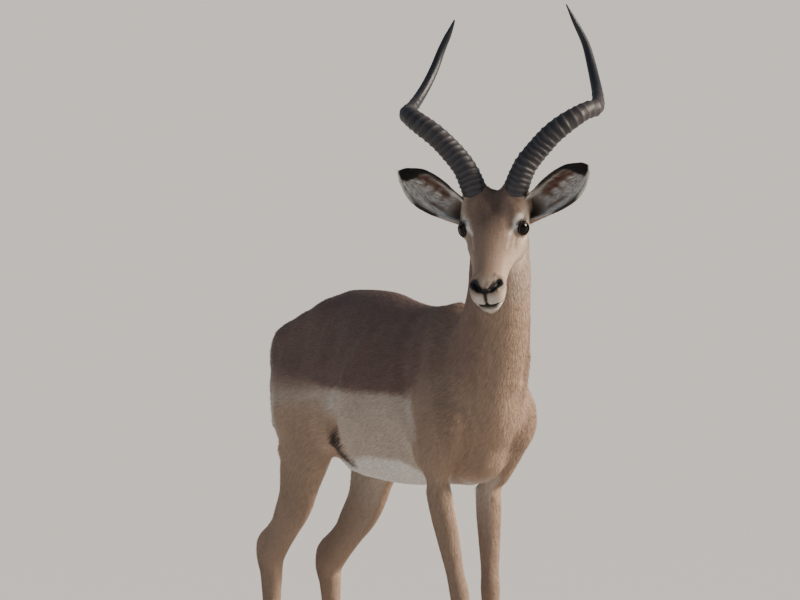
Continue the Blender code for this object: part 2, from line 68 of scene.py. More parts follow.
# Legs: the middle of each joint from the top down, outward, back and up
FORE_JOINTS = {
    RIGHT: ((0.072, -0.284, 0.520), (0.047, -0.328, 0.305), (0.041, -0.371, 0.088), (0.040, -0.388, 0.040)),
    LEFT: ((0.064, -0.250, 0.520), (0.052, -0.279, 0.305), (0.046, -0.294, 0.088), (0.045, -0.311, 0.040)),
}
HIND_JOINTS = {
    RIGHT: (
        (0.084, 0.238, 0.585),
        (0.080, 0.296, 0.454),
        (0.071, 0.424, 0.318),
        (0.070, 0.416, 0.092),
        (0.069, 0.400, 0.040),
    ),
    LEFT: (
        (0.084, 0.226, 0.585),
        (0.078, 0.285, 0.443),
        (0.067, 0.424, 0.299),
        (0.068, 0.403, 0.092),
        (0.068, 0.386, 0.040),
    ),
}
STEP_ALONG = 0.014  # between the rings of a loft
# Each mass of the body: rows of x, y, z, half width, up or fore extent, down or back extent
TRUNK = (
    (0, 0.428, 0.755, 0.012, 0.020, 0.030),
    (0, 0.417, 0.755, 0.046, 0.052, 0.062),
    (0, 0.388, 0.745, 0.075, 0.082, 0.084),
    (0, 0.330, 0.728, 0.095, 0.132, 0.108),
    (0, 0.250, 0.712, 0.108, 0.176, 0.142),
    (0, 0.150, 0.700, 0.118, 0.196, 0.186),
    (0, 0.050, 0.690, 0.125, 0.204, 0.187),
    (0, -0.050, 0.680, 0.123, 0.197, 0.180),
    (0, -0.150, 0.672, 0.114, 0.202, 0.167),
    (0, -0.225, 0.662, 0.104, 0.232, 0.152),
    (0, -0.290, 0.655, 0.096, 0.205, 0.142),
    (0, -0.345, 0.650, 0.083, 0.170, 0.132),
    (0, -0.385, 0.638, 0.062, 0.104, 0.108),
    (0, -0.408, 0.625, 0.036, 0.060, 0.072),
    (0, -0.418, 0.618, 0.012, 0.018, 0.020),
)
NECK = (
    (0, -0.295, 0.600, 0.070, 0.110, 0.092),
    (0, -0.315, 0.680, 0.086, 0.122, 0.106),
    (0, -0.346, 0.755, 0.088, 0.110, 0.108),
    (-0.001, -0.382, 0.825, 0.075, 0.086, 0.095),
    (-0.005, -0.408, 0.900, 0.065, 0.072, 0.083),
    (-0.011, -0.424, 0.970, 0.062, 0.062, 0.074),
    (-0.020, -0.438, 1.025, 0.057, 0.054, 0.062),
    (-0.031, -0.453, 1.062, 0.045, 0.038, 0.048),
    (-0.038, -0.462, 1.080, 0.030, 0.020, 0.030),
)
SHOULDER = (
    (0.026, -0.225, 0.810, 0.016, 0.030, 0.030),
    (0.044, -0.245, 0.780, 0.030, 0.060, 0.060),
    (0.062, -0.280, 0.730, 0.038, 0.082, 0.078),
    (0.073, -0.303, 0.670, 0.038, 0.084, 0.090),
    (0.076, -0.300, 0.610, 0.034, 0.072, 0.084),
    (0.073, -0.286, 0.560, 0.027, 0.046, 0.054),
    (0.069, -0.272, 0.520, 0.019, 0.029, 0.034),
)
THIGH = (  # above the first joint of a hind leg
    (0.030, 0.240, 0.790, 0.026, 0.060, 0.080),
    (0.052, 0.250, 0.755, 0.042, 0.105, 0.125),
    (0.071, 0.252, 0.700, 0.050, 0.134, 0.154),
    (0.081, 0.247, 0.640, 0.046, 0.124, 0.150),
)
TAIL = (
    (0, 0.385, 0.818, 0.016, 0.014, 0.014),
    (0, 0.430, 0.806, 0.019, 0.013, 0.013),
    (0, 0.461, 0.755, 0.023, 0.013, 0.013),
    (0, 0.471, 0.680, 0.027, 0.014, 0.014),
    (0, 0.469, 0.600, 0.029, 0.014, 0.014),
    (0, 0.463, 0.535, 0.020, 0.010, 0.010),
    (0, 0.459, 0.503, 0.006, 0.004, 0.004),
)
# Head: rows of 0, distance along the nose line, height, half width, up, down, narrowing of the jaw
HEAD = (
    (0, -0.028, -0.058, 0.026, 0.022, 0.026, 0.10),
    (0, -0.012, -0.054, 0.043, 0.038, 0.040, 0.10),
    (0, 0.018, -0.050, 0.057, 0.049, 0.060, 0.14),
    (0, 0.055, -0.050, 0.061, 0.055, 0.072, 0.20),
    (0, 0.085, -0.050, 0.061, 0.055, 0.075, 0.24),
    (0, 0.112, -0.050, 0.055, 0.050, 0.066, 0.32),
    (0, 0.140, -0.050, 0.046, 0.043, 0.052, 0.42),
    (0, 0.170, -0.050, 0.0395, 0.037, 0.041, 0.46),
    (0, 0.200, -0.050, 0.0360, 0.033, 0.036, 0.36),
    (0, 0.226, -0.050, 0.0360, 0.029, 0.034, 0.26),
    (0, 0.244, -0.052, 0.0325, 0.024, 0.029, 0.22),
    (0, 0.256, -0.054, 0.0235, 0.016, 0.019, 0.20),
    (0, 0.261, -0.055, 0.0080, 0.005, 0.006, 0.00),
)
# A leg between its joints: rows of the way from joint to joint, half width, fore, back
FORE_SECTIONS = (
    (0.00, 0.0255, 0.0340, 0.0375),
    (0.30, 0.0245, 0.0312, 0.0335),
    (0.60, 0.0212, 0.0258, 0.0265),
    (0.85, 0.0190, 0.0214, 0.0216),
    (1.00, 0.0205, 0.0238, 0.0226),
    (1.14, 0.0180, 0.0204, 0.0206),
    (1.35, 0.0140, 0.0160, 0.0170),
    (1.70, 0.0125, 0.0140, 0.0155),
    (1.90, 0.0140, 0.0150, 0.0170),
    (2.00, 0.0160, 0.0175, 0.0195),
    (2.40, 0.0140, 0.0150, 0.0155),
    (2.80, 0.0175, 0.0180, 0.0185),
    (3.00, 0.0190, 0.0190, 0.0190),
)
HIND_SECTIONS = (
    (0.00, 0.0380, 0.096, 0.106),
    (0.50, 0.0325, 0.074, 0.087),
    (1.00, 0.0275, 0.054, 0.066),
    (1.40, 0.0236, 0.041, 0.049),
    (1.75, 0.0220, 0.031, 0.035),
    (2.00, 0.0245, 0.031, 0.032),
    (2.14, 0.0225, 0.027, 0.030),
    (2.30, 0.0198, 0.0235, 0.0285),
    (2.55, 0.0175, 0.0203, 0.0255),
    (2.85, 0.0163, 0.0184, 0.0216),
    (3.00, 0.0170, 0.0185, 0.0210),
    (3.40, 0.0145, 0.0152, 0.0158),
    (3.80, 0.0178, 0.0182, 0.0188),
    (4.00, 0.0192, 0.0192, 0.0192),
)


def new_object(name, mesh, group):
    made = bpy.data.objects.new(name, mesh)
    group.objects.link(made)
    return made


def mesh_from(form, name):
    """A mesh of a bmesh, with its faces turned outward."""
    bmesh.ops.recalc_face_normals(form, faces=form.faces)
    mesh = bpy.data.meshes.new(name)
    form.to_mesh(mesh)
    form.free()
    return mesh


def settle(thing):
    """Puts an object's modifiers into its mesh."""
    bpy.context.view_layer.update()
    graph = bpy.context.evaluated_depsgraph_get()
    mesh = bpy.data.meshes.new_from_object(thing.evaluated_get(graph))
    thing.modifiers.clear()
    thing.data = mesh


def rows_along(stations, step=STEP_ALONG):
    """Rows about every step along a smooth curve through the stations, whose first three are a place."""
    rows = np.array(stations, float)
    runs = np.linalg.norm(np.diff(rows[:, :3], axis=0), axis=1)
    at = np.concatenate([[0.0], np.cumsum(runs)])
    slope = np.gradient(rows, at, axis=0)
    where = np.linspace(0, at[-1], max(3, round(at[-1] / step) + 1))
    k = np.clip(np.searchsorted(at, where, side="right") - 1, 0, len(at) - 2)
    span = (at[k + 1] - at[k])[:, None]
    t = (where - at[k])[:, None] / span
    start = (1 + 2 * t) * (1 - t) ** 2 * rows[k] + t * (1 - t) ** 2 * span * slope[k]
    end = t**2 * (3 - 2 * t) * rows[k + 1] - t**2 * (1 - t) * span * slope[k + 1]
    return start + end


def loft(form, rows, side, sides=20, pinch_up=0.0, pinch_down=0.0, along=None, bulge=2.0):
    """A closed skin over rings: a row is x, y, z, half width, extent up, extent down, narrowing below.

    The rings lie square to the path, or to along, and bulge is the exponent of their outline.
    """
    places = rows[:, :3]
    tangents = np.gradient(places, axis=0)
    rings = []
    for place, tangent, (width, up, down, *narrowing) in zip(places, tangents, rows[:, 3:]):
        onward = Vector(along if along else tangent).normalized()
        across = (Vector(side) - onward * onward.dot(Vector(side))).normalized()
        above = onward.cross(across)
        ring = []
        for i in range(sides):
            turn = 2 * math.pi * i / sides
            high, out = math.cos(turn), math.sin(turn)
            below = narrowing[0] if narrowing else pinch_down
            pinch = 1 - (pinch_up if high > 0 else below) * abs(high) ** 1.5
            high = math.copysign(abs(high) ** (2 / bulge), high)
            out = math.copysign(abs(out) ** (2 / bulge), out)
            point = across * (width * out * pinch) + above * (high * (up if high > 0 else down))
            ring.append(form.verts.new(Vector(place) + point))
        rings.append(ring)
    for low, top in zip(rings, rings[1:]):
        for i in range(sides):
            j = (i + 1) % sides
            form.faces.new((low[i], low[j], top[j], top[i]))
    form.faces.new(rings[0])
    form.faces.new(rings[-1])


def ball(form, place, radii, turn=None):
    """An ellipsoid, whose own axes are turned by a 3x3 matrix."""
    turned = turn.to_4x4() if turn else Matrix()
    stretched = Matrix.Translation(place) @ turned @ Matrix.Diagonal((*radii, 1))
    bmesh.ops.create_uvsphere(form, u_segments=24, v_segments=12, radius=1, matrix=stretched)


def mirrored(stations, side):
    """Stations of the left side, as the given side has them."""
    return [(row[0] * side, *row[1:]) for row in stations]


def head_frames():
    """Columns of the first: the head's left, its nose line, and up from it. Of the second: its left,
    up and ahead while its nose line is level."""
    level = Matrix.Rotation(-HEAD_TURN, 3, "Z")
    level = Matrix.Rotation(HEAD_ROLL, 3, level @ Vector((0, -1, 0))) @ level
    dropped = Matrix.Rotation(HEAD_DROP, 3, level @ Vector((1, 0, 0))) @ level
    left, ahead, up = Vector((1, 0, 0)), Vector((0, -1, 0)), Vector((0, 0, 1))
    own = Matrix((dropped @ left, dropped @ ahead, dropped @ up)).transposed()
    return own, Matrix((level @ left, level @ up, level @ ahead)).transposed()


HEAD_AXES, LEVEL_AXES = head_frames()


def on_head(out, along, up):
    """A place on the head: outward, along the nose line from the poll and up from it."""
    return POLL + HEAD_AXES @ Vector((out, along, up))


def by_horns(out, up, ahead):
    """A place by the horns, from the middle between their feet, as a level head has it."""
    return on_head(*HORN_MIDDLE) + LEVEL_AXES @ Vector((out, up, ahead))


def leg_rows(joints, sections, side, above=()):
    """Rows of a leg, from the mass above it, its joints and its sections, placed between the joints."""
    points = np.array(joints) * (side, 1, 1)
    rows = mirrored(above, side)
    for way, width, fore, back in sections:
        k = min(int(way), len(points) - 2)
        place = points[k] + (points[k + 1] - points[k]) * (way - k)
        rows.append((*place, width, fore, back))
    return rows_along(rows)


BULGES = (  # muscles of the croup and loin: place, on the left side, and radii
    ((0.038, 0.215, 0.798), (0.050, 0.095, 0.079)),  # croup
    ((0.046, 0.290, 0.772), (0.046, 0.078, 0.079)),  # rump
    ((0.054, 0.346, 0.743), (0.047, 0.084, 0.086)),  # buttock
    ((0.080, 0.130, 0.680), (0.036, 0.090, 0.110)),  # loin and flank
)


def add_trunk(form):
    loft(form, rows_along(TRUNK), (1, 0, 0), 32, pinch_up=0.24, pinch_down=0.32)
    ball(form, (0, -0.325, 0.595), (0.060, 0.066, 0.075))  # breast
    ball(form, (0, 0.175, 0.535), (0.022, 0.050, 0.024))  # sheath
    ball(form, (0, 0.262, 0.580), (0.028, 0.030, 0.046))  # scrotum
    for side in (LEFT, RIGHT):
        for (out, back, up), radii in BULGES:
            ball(form, (out * side, back, up), radii)


def add_neck(form):
    loft(form, rows_along(NECK), (1, 0, 0), 24, pinch_up=0.22, pinch_down=0.10)


def add_fore_leg(form, side):
    loft(form, rows_along(mirrored(SHOULDER, side)), (1, 0, 0), 20)
    ball(form, (0.074 * side, -0.345, 0.650), (0.042, 0.050, 0.070))  # point of the shoulder
    ball(form, (0.076 * side, -0.250, 0.590), (0.028, 0.050, 0.060))  # back of the upper arm
    loft(form, leg_rows(FORE_JOINTS[side], FORE_SECTIONS, side), (1, 0, 0), 16)


def add_hind_leg(form, side):
    joints = HIND_JOINTS[side]
    loft(form, leg_rows(joints, HIND_SECTIONS, side, THIGH), (1, 0, 0), 20)
    out, back, up = joints[2]
    heel = (
        (out + 0.008, back - 0.090, up + 0.125, 0.010, 0.016, 0.016),
        (out + 0.005, back - 0.012, up + 0.068, 0.009, 0.016, 0.016),
        (out + 0.002, back + 0.044, up + 0.026, 0.011, 0.014, 0.014),
        (out, back + 0.042, up - 0.002, 0.0115, 0.016, 0.012),
        (out, back + 0.022, up - 0.040, 0.011, 0.014, 0.010),
        (out, back + 0.008, up - 0.085, 0.009, 0.010, 0.009),
    )
    loft(form, rows_along(mirrored(heel, side)), (1, 0, 0), 12)
    ankle = joints[3]
    brush = (ankle[0] * side, ankle[1] + 0.024, ankle[2] + 0.076)
    ball(form, brush, (0.011, 0.014, 0.030))  # tuft over the gland


def add_head(form):
    rows = rows_along(HEAD, 0.010)
    for row in rows:
        row[:3] = on_head(*row[:3])
    loft(form, rows, HEAD_AXES.col[0], 24, pinch_up=0.06, bulge=2.25)
    ball(form, on_head(0, 0.215, -0.088), (0.026, 0.042, 0.018), HEAD_AXES)  # chin
    ball(form, on_head(0, 0.050, -0.092), (0.040, 0.050, 0.044), HEAD_AXES)  # throat
    for side in (LEFT, RIGHT):
        for place, radii in (
            ((0.0465, 0.078, -0.027), (0.0240, 0.036, 0.024)),  # orbit
            ((0.034, 0.075, -0.080), (0.020, 0.046, 0.038)),  # cheek
            ((0.037, 0.020, -0.012), (0.028, 0.034, 0.024)),  # foot of the horn
            ((0.0185, 0.236, -0.044), (0.0170, 0.021, 0.020)),  # nostril
            ((0.0160, 0.228, -0.066), (0.0190, 0.028, 0.017)),  # upper lip
            (EAR_SEAT, (0.022, 0.026, 0.026)),
        ):
            out, along, up = place
            ball(form, on_head(out * side, along, up), radii, HEAD_AXES)


def softness(place):
    """How much the joined masses are smoothed: fully on the trunk, little on head, legs and tail."""
    from_head = (Vector(place) - on_head(0, 0.10, -0.05)).length
    head = min(1.0, max(0.0, (from_head - 0.14) / 0.10))
    leg = min(1.0, max(0.0, (place[2] - 0.45) / 0.09))
    if place[1] > 0.435 and abs(place[0]) < 0.04:  # the tail
        leg = 0.0
    return 0.10 + 0.90 * min(head, leg)


GRID = 0.0056  # on which the masses are joined
SOFTENINGS = 58  # passes over the joined masses
TAIL_CORE = 0.72  # thickness of the tail's skin, of the tail with its hair


def joined_masses():
    """All the masses as one skin, smoothed where they run into one another."""
    form = bmesh.new()
    add_trunk(form)
    add_neck(form)
    add_head(form)
    core = np.array(rows_along(TAIL))
    core[:, 3:] *= TAIL_CORE
    loft(form, core, (1, 0, 0), 12)
    for side in (LEFT, RIGHT):
        add_fore_leg(form, side)
        add_hind_leg(form, side)
    hide = new_object("hide", mesh_from(form, "hide"), scene_parts)
    join = hide.modifiers.new("join", "REMESH")
    join.mode = "VOXEL"
    join.voxel_size = GRID
    settle(hide)
    weights = hide.vertex_groups.new(name="soft")
    for vertex in hide.data.vertices:
        weights.add([vertex.index], softness(vertex.co), "REPLACE")
    soften = hide.modifiers.new("soften", "SMOOTH")
    soften.factor = 0.5
    soften.iterations = SOFTENINGS
    soften.vertex_group = "soft"
    settle(hide)
    hide.vertex_groups.clear()
    return hide


def places_of(mesh):
    """The mesh's vertices, one row each."""
    flat = np.empty(len(mesh.vertices) * 3)
    mesh.vertices.foreach_get("co", flat)
    return flat.reshape(-1, 3)


def normals_of(mesh):
    flat = np.empty(len(mesh.vertices) * 3, np.float32)
    mesh.vertex_normals.foreach_get("vector", flat)
    return flat.reshape(-1, 3).astype(float)


def ramp(values, start, end):
    """0 before start, 1 past end, and a smooth rise between."""
    way = np.clip((values - start) / (end - start), 0, 1)
    return way * way * (3 - 2 * way)


def in_head_axes(places):
    """Each place as on_head takes it: outward, along the nose line and up."""
    return (places - np.array(POLL)) @ np.array(HEAD_AXES)


def distance_from(places, middles):
    """How far each place is from the nearest of the middles."""
    return np.min([np.linalg.norm(places - np.array(one), axis=1) for one in middles], axis=0)


def split_round(hide, middles, reach):
    """Halves the edges of the faces within reach of any of the middles."""
    form = bmesh.new()
    form.from_mesh(hide.data)
    places = places_of(hide.data)
    close = distance_from(places, middles) < reach
    edges = [edge for edge in form.edges if close[edge.verts[0].index] and close[edge.verts[1].index]]
    bmesh.ops.subdivide_edges(form, edges=edges, cuts=1, use_grid_fill=True)
    form.to_mesh(hide.data)
    form.free()


def relax(hide, middles, reach, passes):
    """Evens out the faces within reach of any of the middles, fading towards the edge."""
    places = places_of(hide.data)
    ends = np.empty(len(hide.data.edges) * 2, np.int32)
    hide.data.edges.foreach_get("vertices", ends)
    a, b = ends.reshape(-1, 2).T
    links = np.bincount(np.concatenate([a, b]), minlength=len(places))[:, None]
    share = (1 - ramp(distance_from(places, middles), reach * 0.8, reach))[:, None] * 0.6
    for _ in range(passes):
        total = np.zeros_like(places)
        for k in range(3):
            total[:, k] = np.bincount(a, places[b, k], len(places))
            total[:, k] += np.bincount(b, places[a, k], len(places))
        places += share * (total / links - places)
    hide.data.vertices.foreach_set("co", places.ravel())
    hide.data.update()


CROUP = ((0.045, 0.250, 0.860), (0.050, 0.300, 0.847), (0.055, 0.345, 0.832))
HEAD_MIDDLES = ((0, 0.02, -0.05), (0, 0.12, -0.055), (0, 0.20, -0.055))
MUZZLE = (0, 0.225, -0.055)
# How far round each of them the faces are halved or evened out
CROUP_REACH = 0.060
HEAD_REACH = 0.088
MUZZLE_REACH = 0.052
EYE_REACH = 0.034

scene_parts = bpy.data.collections.new("impala")
bpy.context.scene.collection.children.link(scene_parts)
hide = joined_masses()
relax(hide, mirrored(CROUP, LEFT) + mirrored(CROUP, RIGHT), CROUP_REACH, 30)
eyes_at = [on_head(EYE_PLACE[0] * side, *EYE_PLACE[1:]) for side in (LEFT, RIGHT)]
head_middles = [on_head(*place) for place in HEAD_MIDDLES]
split_round(hide, head_middles, HEAD_REACH)
relax(hide, head_middles, HEAD_REACH, 5)
split_round(hide, [on_head(*MUZZLE)], MUZZLE_REACH)
split_round(hide, eyes_at, EYE_REACH)
relax(hide, [on_head(*MUZZLE)], MUZZLE_REACH, 2)
relax(hide, eyes_at, EYE_REACH, 2)


MARK_STEP = 0.003  # between the places of a line that is laid on the hide


def snapped(surface, line):
    """Places along a line, each moved onto the hide."""
    points = [Vector(point) for point in line]
    found = [surface.find_nearest(points[0])[0]]
    for start, end in zip(points, points[1:]):
        count = max(1, round((end - start).length / MARK_STEP))
        found += [surface.find_nearest(start.lerp(end, (i + 1) / count))[0] for i in range(count)]
    return np.array(found)


def closeness(places, line, reach):
    """1 on a line of places, fading smoothly past reach."""
    nearest = np.full(len(places), 9.0)
    low, top = line.min(axis=0) - 3 * reach, line.max(axis=0) + 3 * reach
    close = np.all((places > low) & (places < top), axis=1)
    for start, end in zip(line, line[1:]):
        along = end - start
        way = np.clip((places[close] - start) @ along / max(along @ along, 1e-12), 0, 1)
        gap = np.linalg.norm(places[close] - start - way[:, None] * along, axis=1)
        nearest[close] = np.minimum(nearest[close], gap)
    return np.exp(-((nearest / reach) ** 2))


def both_sides(line, on_face=False):
    """The line on the left and on the right, from trunk or head measures."""
    for side in (LEFT, RIGHT):
        turned = [(point[0] * side, *point[1:]) for point in line]
        yield [on_head(*point) for point in turned] if on_face else turned


def coat_depth(places):
    """How far the hair stands over the skin."""
    face = in_head_axes(places)
    on_face = ramp(0.19 - np.linalg.norm(face - (0, 0.10, -0.06), axis=1), 0.02, 0.07)
    depth = 0.0014 + 0.0008 * ramp(places[:, 2], 0.36, 0.62)
    return depth * (1 - on_face) + 0.0010 * on_face


CREASE = (  # between flank and thigh
    (0.118, 0.060, 0.690),
    (0.1145, 0.071, 0.655),
    (0.108, 0.084, 0.620),
    (0.101, 0.094, 0.583),
    (0.090, 0.096, 0.552),
    (0.080, 0.096, 0.528),
)
# Relief on the left, which the right side has too: the line it follows, its width and its height
BODY_RELIEF = (
    (((0.045, -0.150, 0.845), (0.074, -0.168, 0.795), (0.087, -0.184, 0.760),
      (0.096, -0.214, 0.707), (0.104, -0.236, 0.61), (0.090, -0.240, 0.55)), 0.020, -0.0055),
    (((0.050, -0.235, 0.85), (0.085, -0.290, 0.77), (0.100, -0.345, 0.68)), 0.020, 0.0030),
    (((0.108, -0.290, 0.66), (0.104, -0.275, 0.60)), 0.032, 0.0045),
    (((0.0588, -0.4311, 0.857), (0.0563, -0.4267, 0.804),
      (0.0538, -0.4185, 0.734), (0.0487, -0.4056, 0.674)), 0.011, 0.0035),
    (((0.0470, -0.4500, 0.857), (0.0450, -0.4450, 0.804), (0.0430, -0.4360, 0.734)), 0.013, -0.0060),
    (((0.088, 0.105, 0.808), (0.106, 0.092, 0.772), (0.113, 0.095, 0.722)), 0.034, -0.0045),
    (((0.083, -0.030, 0.806), (0.104, -0.013, 0.766), (0.118, 0.010, 0.721)), 0.020, 0.0060),
    (((0.085, 0.030, 0.815), (0.108, 0.040, 0.772), (0.118, 0.050, 0.725)), 0.020, -0.0015),
    (((0.085, 0.345, 0.76), (0.100, 0.335, 0.66), (0.098, 0.325, 0.56)), 0.013, -0.0035),
    (((0.120, 0.046, 0.680), (0.114, 0.056, 0.630), (0.098, 0.064, 0.585)), 0.012, 0.0045),
    (CREASE[:3], 0.008, -0.0050),
    (CREASE[2:], 0.013, -0.0115),
    (((0.098, 0.330, 0.588), (0.097, 0.324, 0.558)), 0.014, 0.0095),
    (((0.1022, 0.3727, 0.660), (0.1006, 0.3756, 0.643), (0.0997, 0.3729, 0.627)), 0.020, -0.0078),
    (((0.116, 0.094, 0.665), (0.112, 0.104, 0.620), (0.100, 0.116, 0.580)), 0.013, 0.0035),
    (((0.050, -0.470, 0.99), (0.064, -0.450, 0.90), (0.070, -0.430, 0.80)), 0.012, -0.0025),
    (((0.045, -0.395, 0.62), (0.052, -0.380, 0.56)), 0.014, -0.0035),
    (((0, -0.236, 0.890), (0, -0.275, 0.895)), 0.036, -0.0075),
)
NOSTRIL = ((0.0250, 0.2250, -0.0335), (0.0190, 0.2345, -0.0345), (0.0120, 0.2425, -0.0350))
NOSTRIL_MEETING = ((0.0120, 0.2425, -0.0350), (0.0020, 0.2490, -0.0335))
PHILTRUM = ((0, 0.2490, -0.0330), (0, 0.2517, -0.0660))
MOUTH = (
    (0, 0.2517, -0.0665),
    (0.0175, 0.2490, -0.0680),
    (0.0280, 0.2380, -0.0690),
    (0.0340, 0.2180, -0.0680),
    (0.0350, 0.1950, -0.0660),
)
BROW = ((0.0515, 0.076, -0.008), (0.0475, 0.098, -0.0095), (0.0390, 0.118, -0.015), (0.0330, 0.147, -0.023))
FACE_RELIEF = (
    (((0.040, 0.055, 0.000), (0.047, 0.075, -0.004), (0.046, 0.096, -0.008)), 0.009, 0.0026),
    (((0.060, 0.040, -0.040), (0.058, 0.028, -0.055)), 0.012, -0.0030),
    (((0.045, 0.114, -0.026), (0.043, 0.130, -0.036)), 0.0050, -0.0024),
    (((0.047, 0.090, -0.080), (0.044, 0.060, -0.095)), 0.024, 0.0025),
    (((0.048, 0.118, -0.055), (0.041, 0.155, -0.058)), 0.008, 0.0016),
    (((0.034, 0.160, -0.036), (0.033, 0.195, -0.040)), 0.011, -0.0020),
    (((0.022, 0.2150, -0.022), (0.0310, 0.2150, -0.032), (0.0300, 0.2300, -0.041)), 0.0055, 0.0022),
    (((0.008, 0.236, -0.027), (0.004, 0.245, -0.031)), 0.0060, 0.0014),
    (NOSTRIL, 0.0050, -0.0085),
    (NOSTRIL_MEETING, 0.0026, -0.0026),
    (PHILTRUM, 0.0024, -0.0026),
    (((0.012, 0.250, -0.055), (0.025, 0.238, -0.057), (0.031, 0.220, -0.058)), 0.0080, 0.0014),
    (MOUTH, 0.0026, -0.0050),
    (((0, 0.012, -0.004), (0, 0.000, -0.016)), 0.019, -0.0090),
    (((0, -0.016, -0.022), (0, -0.034, -0.032)), 0.027, -0.0140),
    (((0, 0.249, -0.0755), (0.016, 0.245, -0.077), (0.027, 0.230, -0.078)), 0.0048, 0.0014),
)


def surface_of(mesh, places):
    """What finds the nearest place on a mesh, with its vertices at the given places."""
    return BVHTree.FromPolygons([tuple(p) for p in places], [tuple(f.vertices) for f in mesh.polygons])


def raise_relief(mesh):
    """Draws the hide in by the coat's depth and pushes it in or out along the lines of relief."""
    places, normals = places_of(mesh), normals_of(mesh)
    places -= normals * coat_depth(places)[:, None]
    surface = surface_of(mesh, places)
    moved = np.zeros(len(places))
    for relief, on_face in ((BODY_RELIEF, False), (FACE_RELIEF, True)):
        for line, reach, height in relief:
            middle_line = all(point[0] == 0 for point in line)
            for turned in list(both_sides(line, on_face))[: 1 if middle_line else 2]:
                share = closeness(places, snapped(surface, turned), reach)
                if height < 0:
                    moved = moved * (1 - 0.5 * share)
                moved += height * share
    mesh.vertices.foreach_set("co", (places + normals * moved[:, None]).ravel())
    mesh.update()


def eye_axes(side):
    """Columns: towards the inner corner, up, and the way the eye looks, in the world."""
    look = Vector((0.62 * side, 0.62, 0.40)).normalized()
    corner = Vector((-0.30 * side, 0.80, -0.42))
    corner = (corner - look * look.dot(corner)).normalized()
    above = look.cross(corner) * side
    return HEAD_AXES @ Matrix((corner, above, look)).transposed()


EYE_OPENING = (0.64, 0.62)  # half length and half height of the gap between the lids, of the eye's radius


HORN_LEAVES = (0.041, 0.002, 0.000)  # out, up and ahead, where a horn comes out of the hide
HORN_LEAN = Vector((0.22, 0.96, 0.05))  # its way out there
HAIR_RISE = 0.0250  # how far the hide climbs it


def raise_brow_hair(mesh):
    """Lifts the hide round each horn's foot, so that the horn leaves it higher up."""
    places = places_of(mesh)
    for side in (LEFT, RIGHT):
        foot = np.array(by_horns(HORN_LEAVES[0] * side, *HORN_LEAVES[1:]))
        upward = np.array(LEVEL_AXES @ Vector((HORN_LEAN.x * side, HORN_LEAN.y, HORN_LEAN.z)).normalized())
        offset = places - foot
        high = offset @ upward
        gap = np.linalg.norm(offset - high[:, None] * upward, axis=1)
        near = (1 - ramp(gap, 0.022, 0.052)) * (np.abs(high) < 0.07)
        ahead = ramp(offset @ np.array(LEVEL_AXES.col[2]), -0.030, 0.010)
        places = places + (HAIR_RISE * near * ahead)[:, None] * upward
    mesh.vertices.foreach_set("co", places.ravel())
    mesh.update()


def seen_from_eye(places, side, middle):
    """For each place, from the eye's middle: offset, distance, direction in eye_axes, and how far it
    is from the middle of the lids' opening, whose edge is at 1."""
    offset = places - np.array(middle)
    radius = np.linalg.norm(offset, axis=1)
    toward = offset @ np.array(eye_axes(side)) / radius[:, None]
    return offset, radius, toward, np.hypot(toward[:, 0] / EYE_OPENING[0], toward[:, 1] / EYE_OPENING[1])


def seat_eyes(mesh):
    """Draws the hide over each eyeball and sinks it behind the ball inside the lids."""
    places = places_of(mesh)
    for side, middle in zip((LEFT, RIGHT), eyes_at):
        offset, radius, toward, gap = seen_from_eye(places, side, middle)
        ahead = ramp(toward[:, 2], -0.35, 0.05) * (radius < EYE_RADIUS * 2.2)
        inside = ahead * (1 - ramp(gap, 0.94, 1.04))
        lid = ahead * ramp(gap, 0.94, 1.04) * (1 - ramp(gap, 1.12, 1.75))
        wanted = radius + lid * (np.maximum(EYE_RADIUS + 0.0016, radius * 0.35 + EYE_RADIUS * 0.65) - radius)
        wanted += inside * (np.minimum(radius, EYE_RADIUS - 0.0025) - wanted)
        places = np.array(middle) + offset * (wanted / radius)[:, None]
    mesh.vertices.foreach_set("co", places.ravel())
    mesh.update()


raise_brow_hair(hide.data)
raise_relief(hide.data)
seat_eyes(hide.data)
hide.data.shade_smooth()

# ---------------------------------------------------------------------------------------------
# Markings and lie of the coat. Every point of the hide carries how red, pale, white or black its
# hair is, how long the hair is and which way it lies; the tufts take all of it from their roots.
# ---------------------------------------------------------------------------------------------

# Each part's middle line from where its hair starts to where it ends, and its radius
BODY_LINES = {
    "trunk": (((0, -0.270, 0.680), (0, 0.000, 0.690), (0, 0.290, 0.735)), 0.150),
    "neck": (((-0.030, -0.450, 1.050), (-0.005, -0.408, 0.900), (0, -0.350, 0.740)), 0.075),
    "head": ([on_head(0, along, -0.055) for along in (0.225, 0.120, 0.010)], 0.045),
    "tail": (((0, 0.425, 0.800), (0, 0.469, 0.680), (0, 0.462, 0.520)), 0.014),
}
for side, hand in SIDES:
    for kind, top, joints, radius in (
        ("fore", (0.074, -0.290, 0.620), FORE_JOINTS[side], 0.026),
        ("hind", (0.080, 0.245, 0.640), HIND_JOINTS[side], 0.034),
    ):
        line = [(place[0] * side, *place[1:]) for place in (top, *joints)]
        BODY_LINES[f"{kind}_{hand}"] = (line, radius)


def along_line(places, line):
    """For each place: its distance from a line, how far along it is, the line's direction there and
    its nearest place; and last the length of the line."""
    line = np.array([tuple(point) for point in line])
    gap = np.full(len(places), np.inf)
    way, onward, foot = np.zeros(len(places)), np.zeros_like(places), np.zeros_like(places)
    run = 0.0
    for start, end in zip(line, line[1:]):
        span = end - start
        length = np.linalg.norm(span)
        share = np.clip((places - start) @ span / length**2, 0, 1)
        here = start + share[:, None] * span
        distance = np.linalg.norm(places - here, axis=1)
        closer = distance < gap
        gap[closer], way[closer], foot[closer] = distance[closer], run + share[closer] * length, here[closer]
        onward[closer] = span / length
        run += length
    return gap, way, onward, foot, run


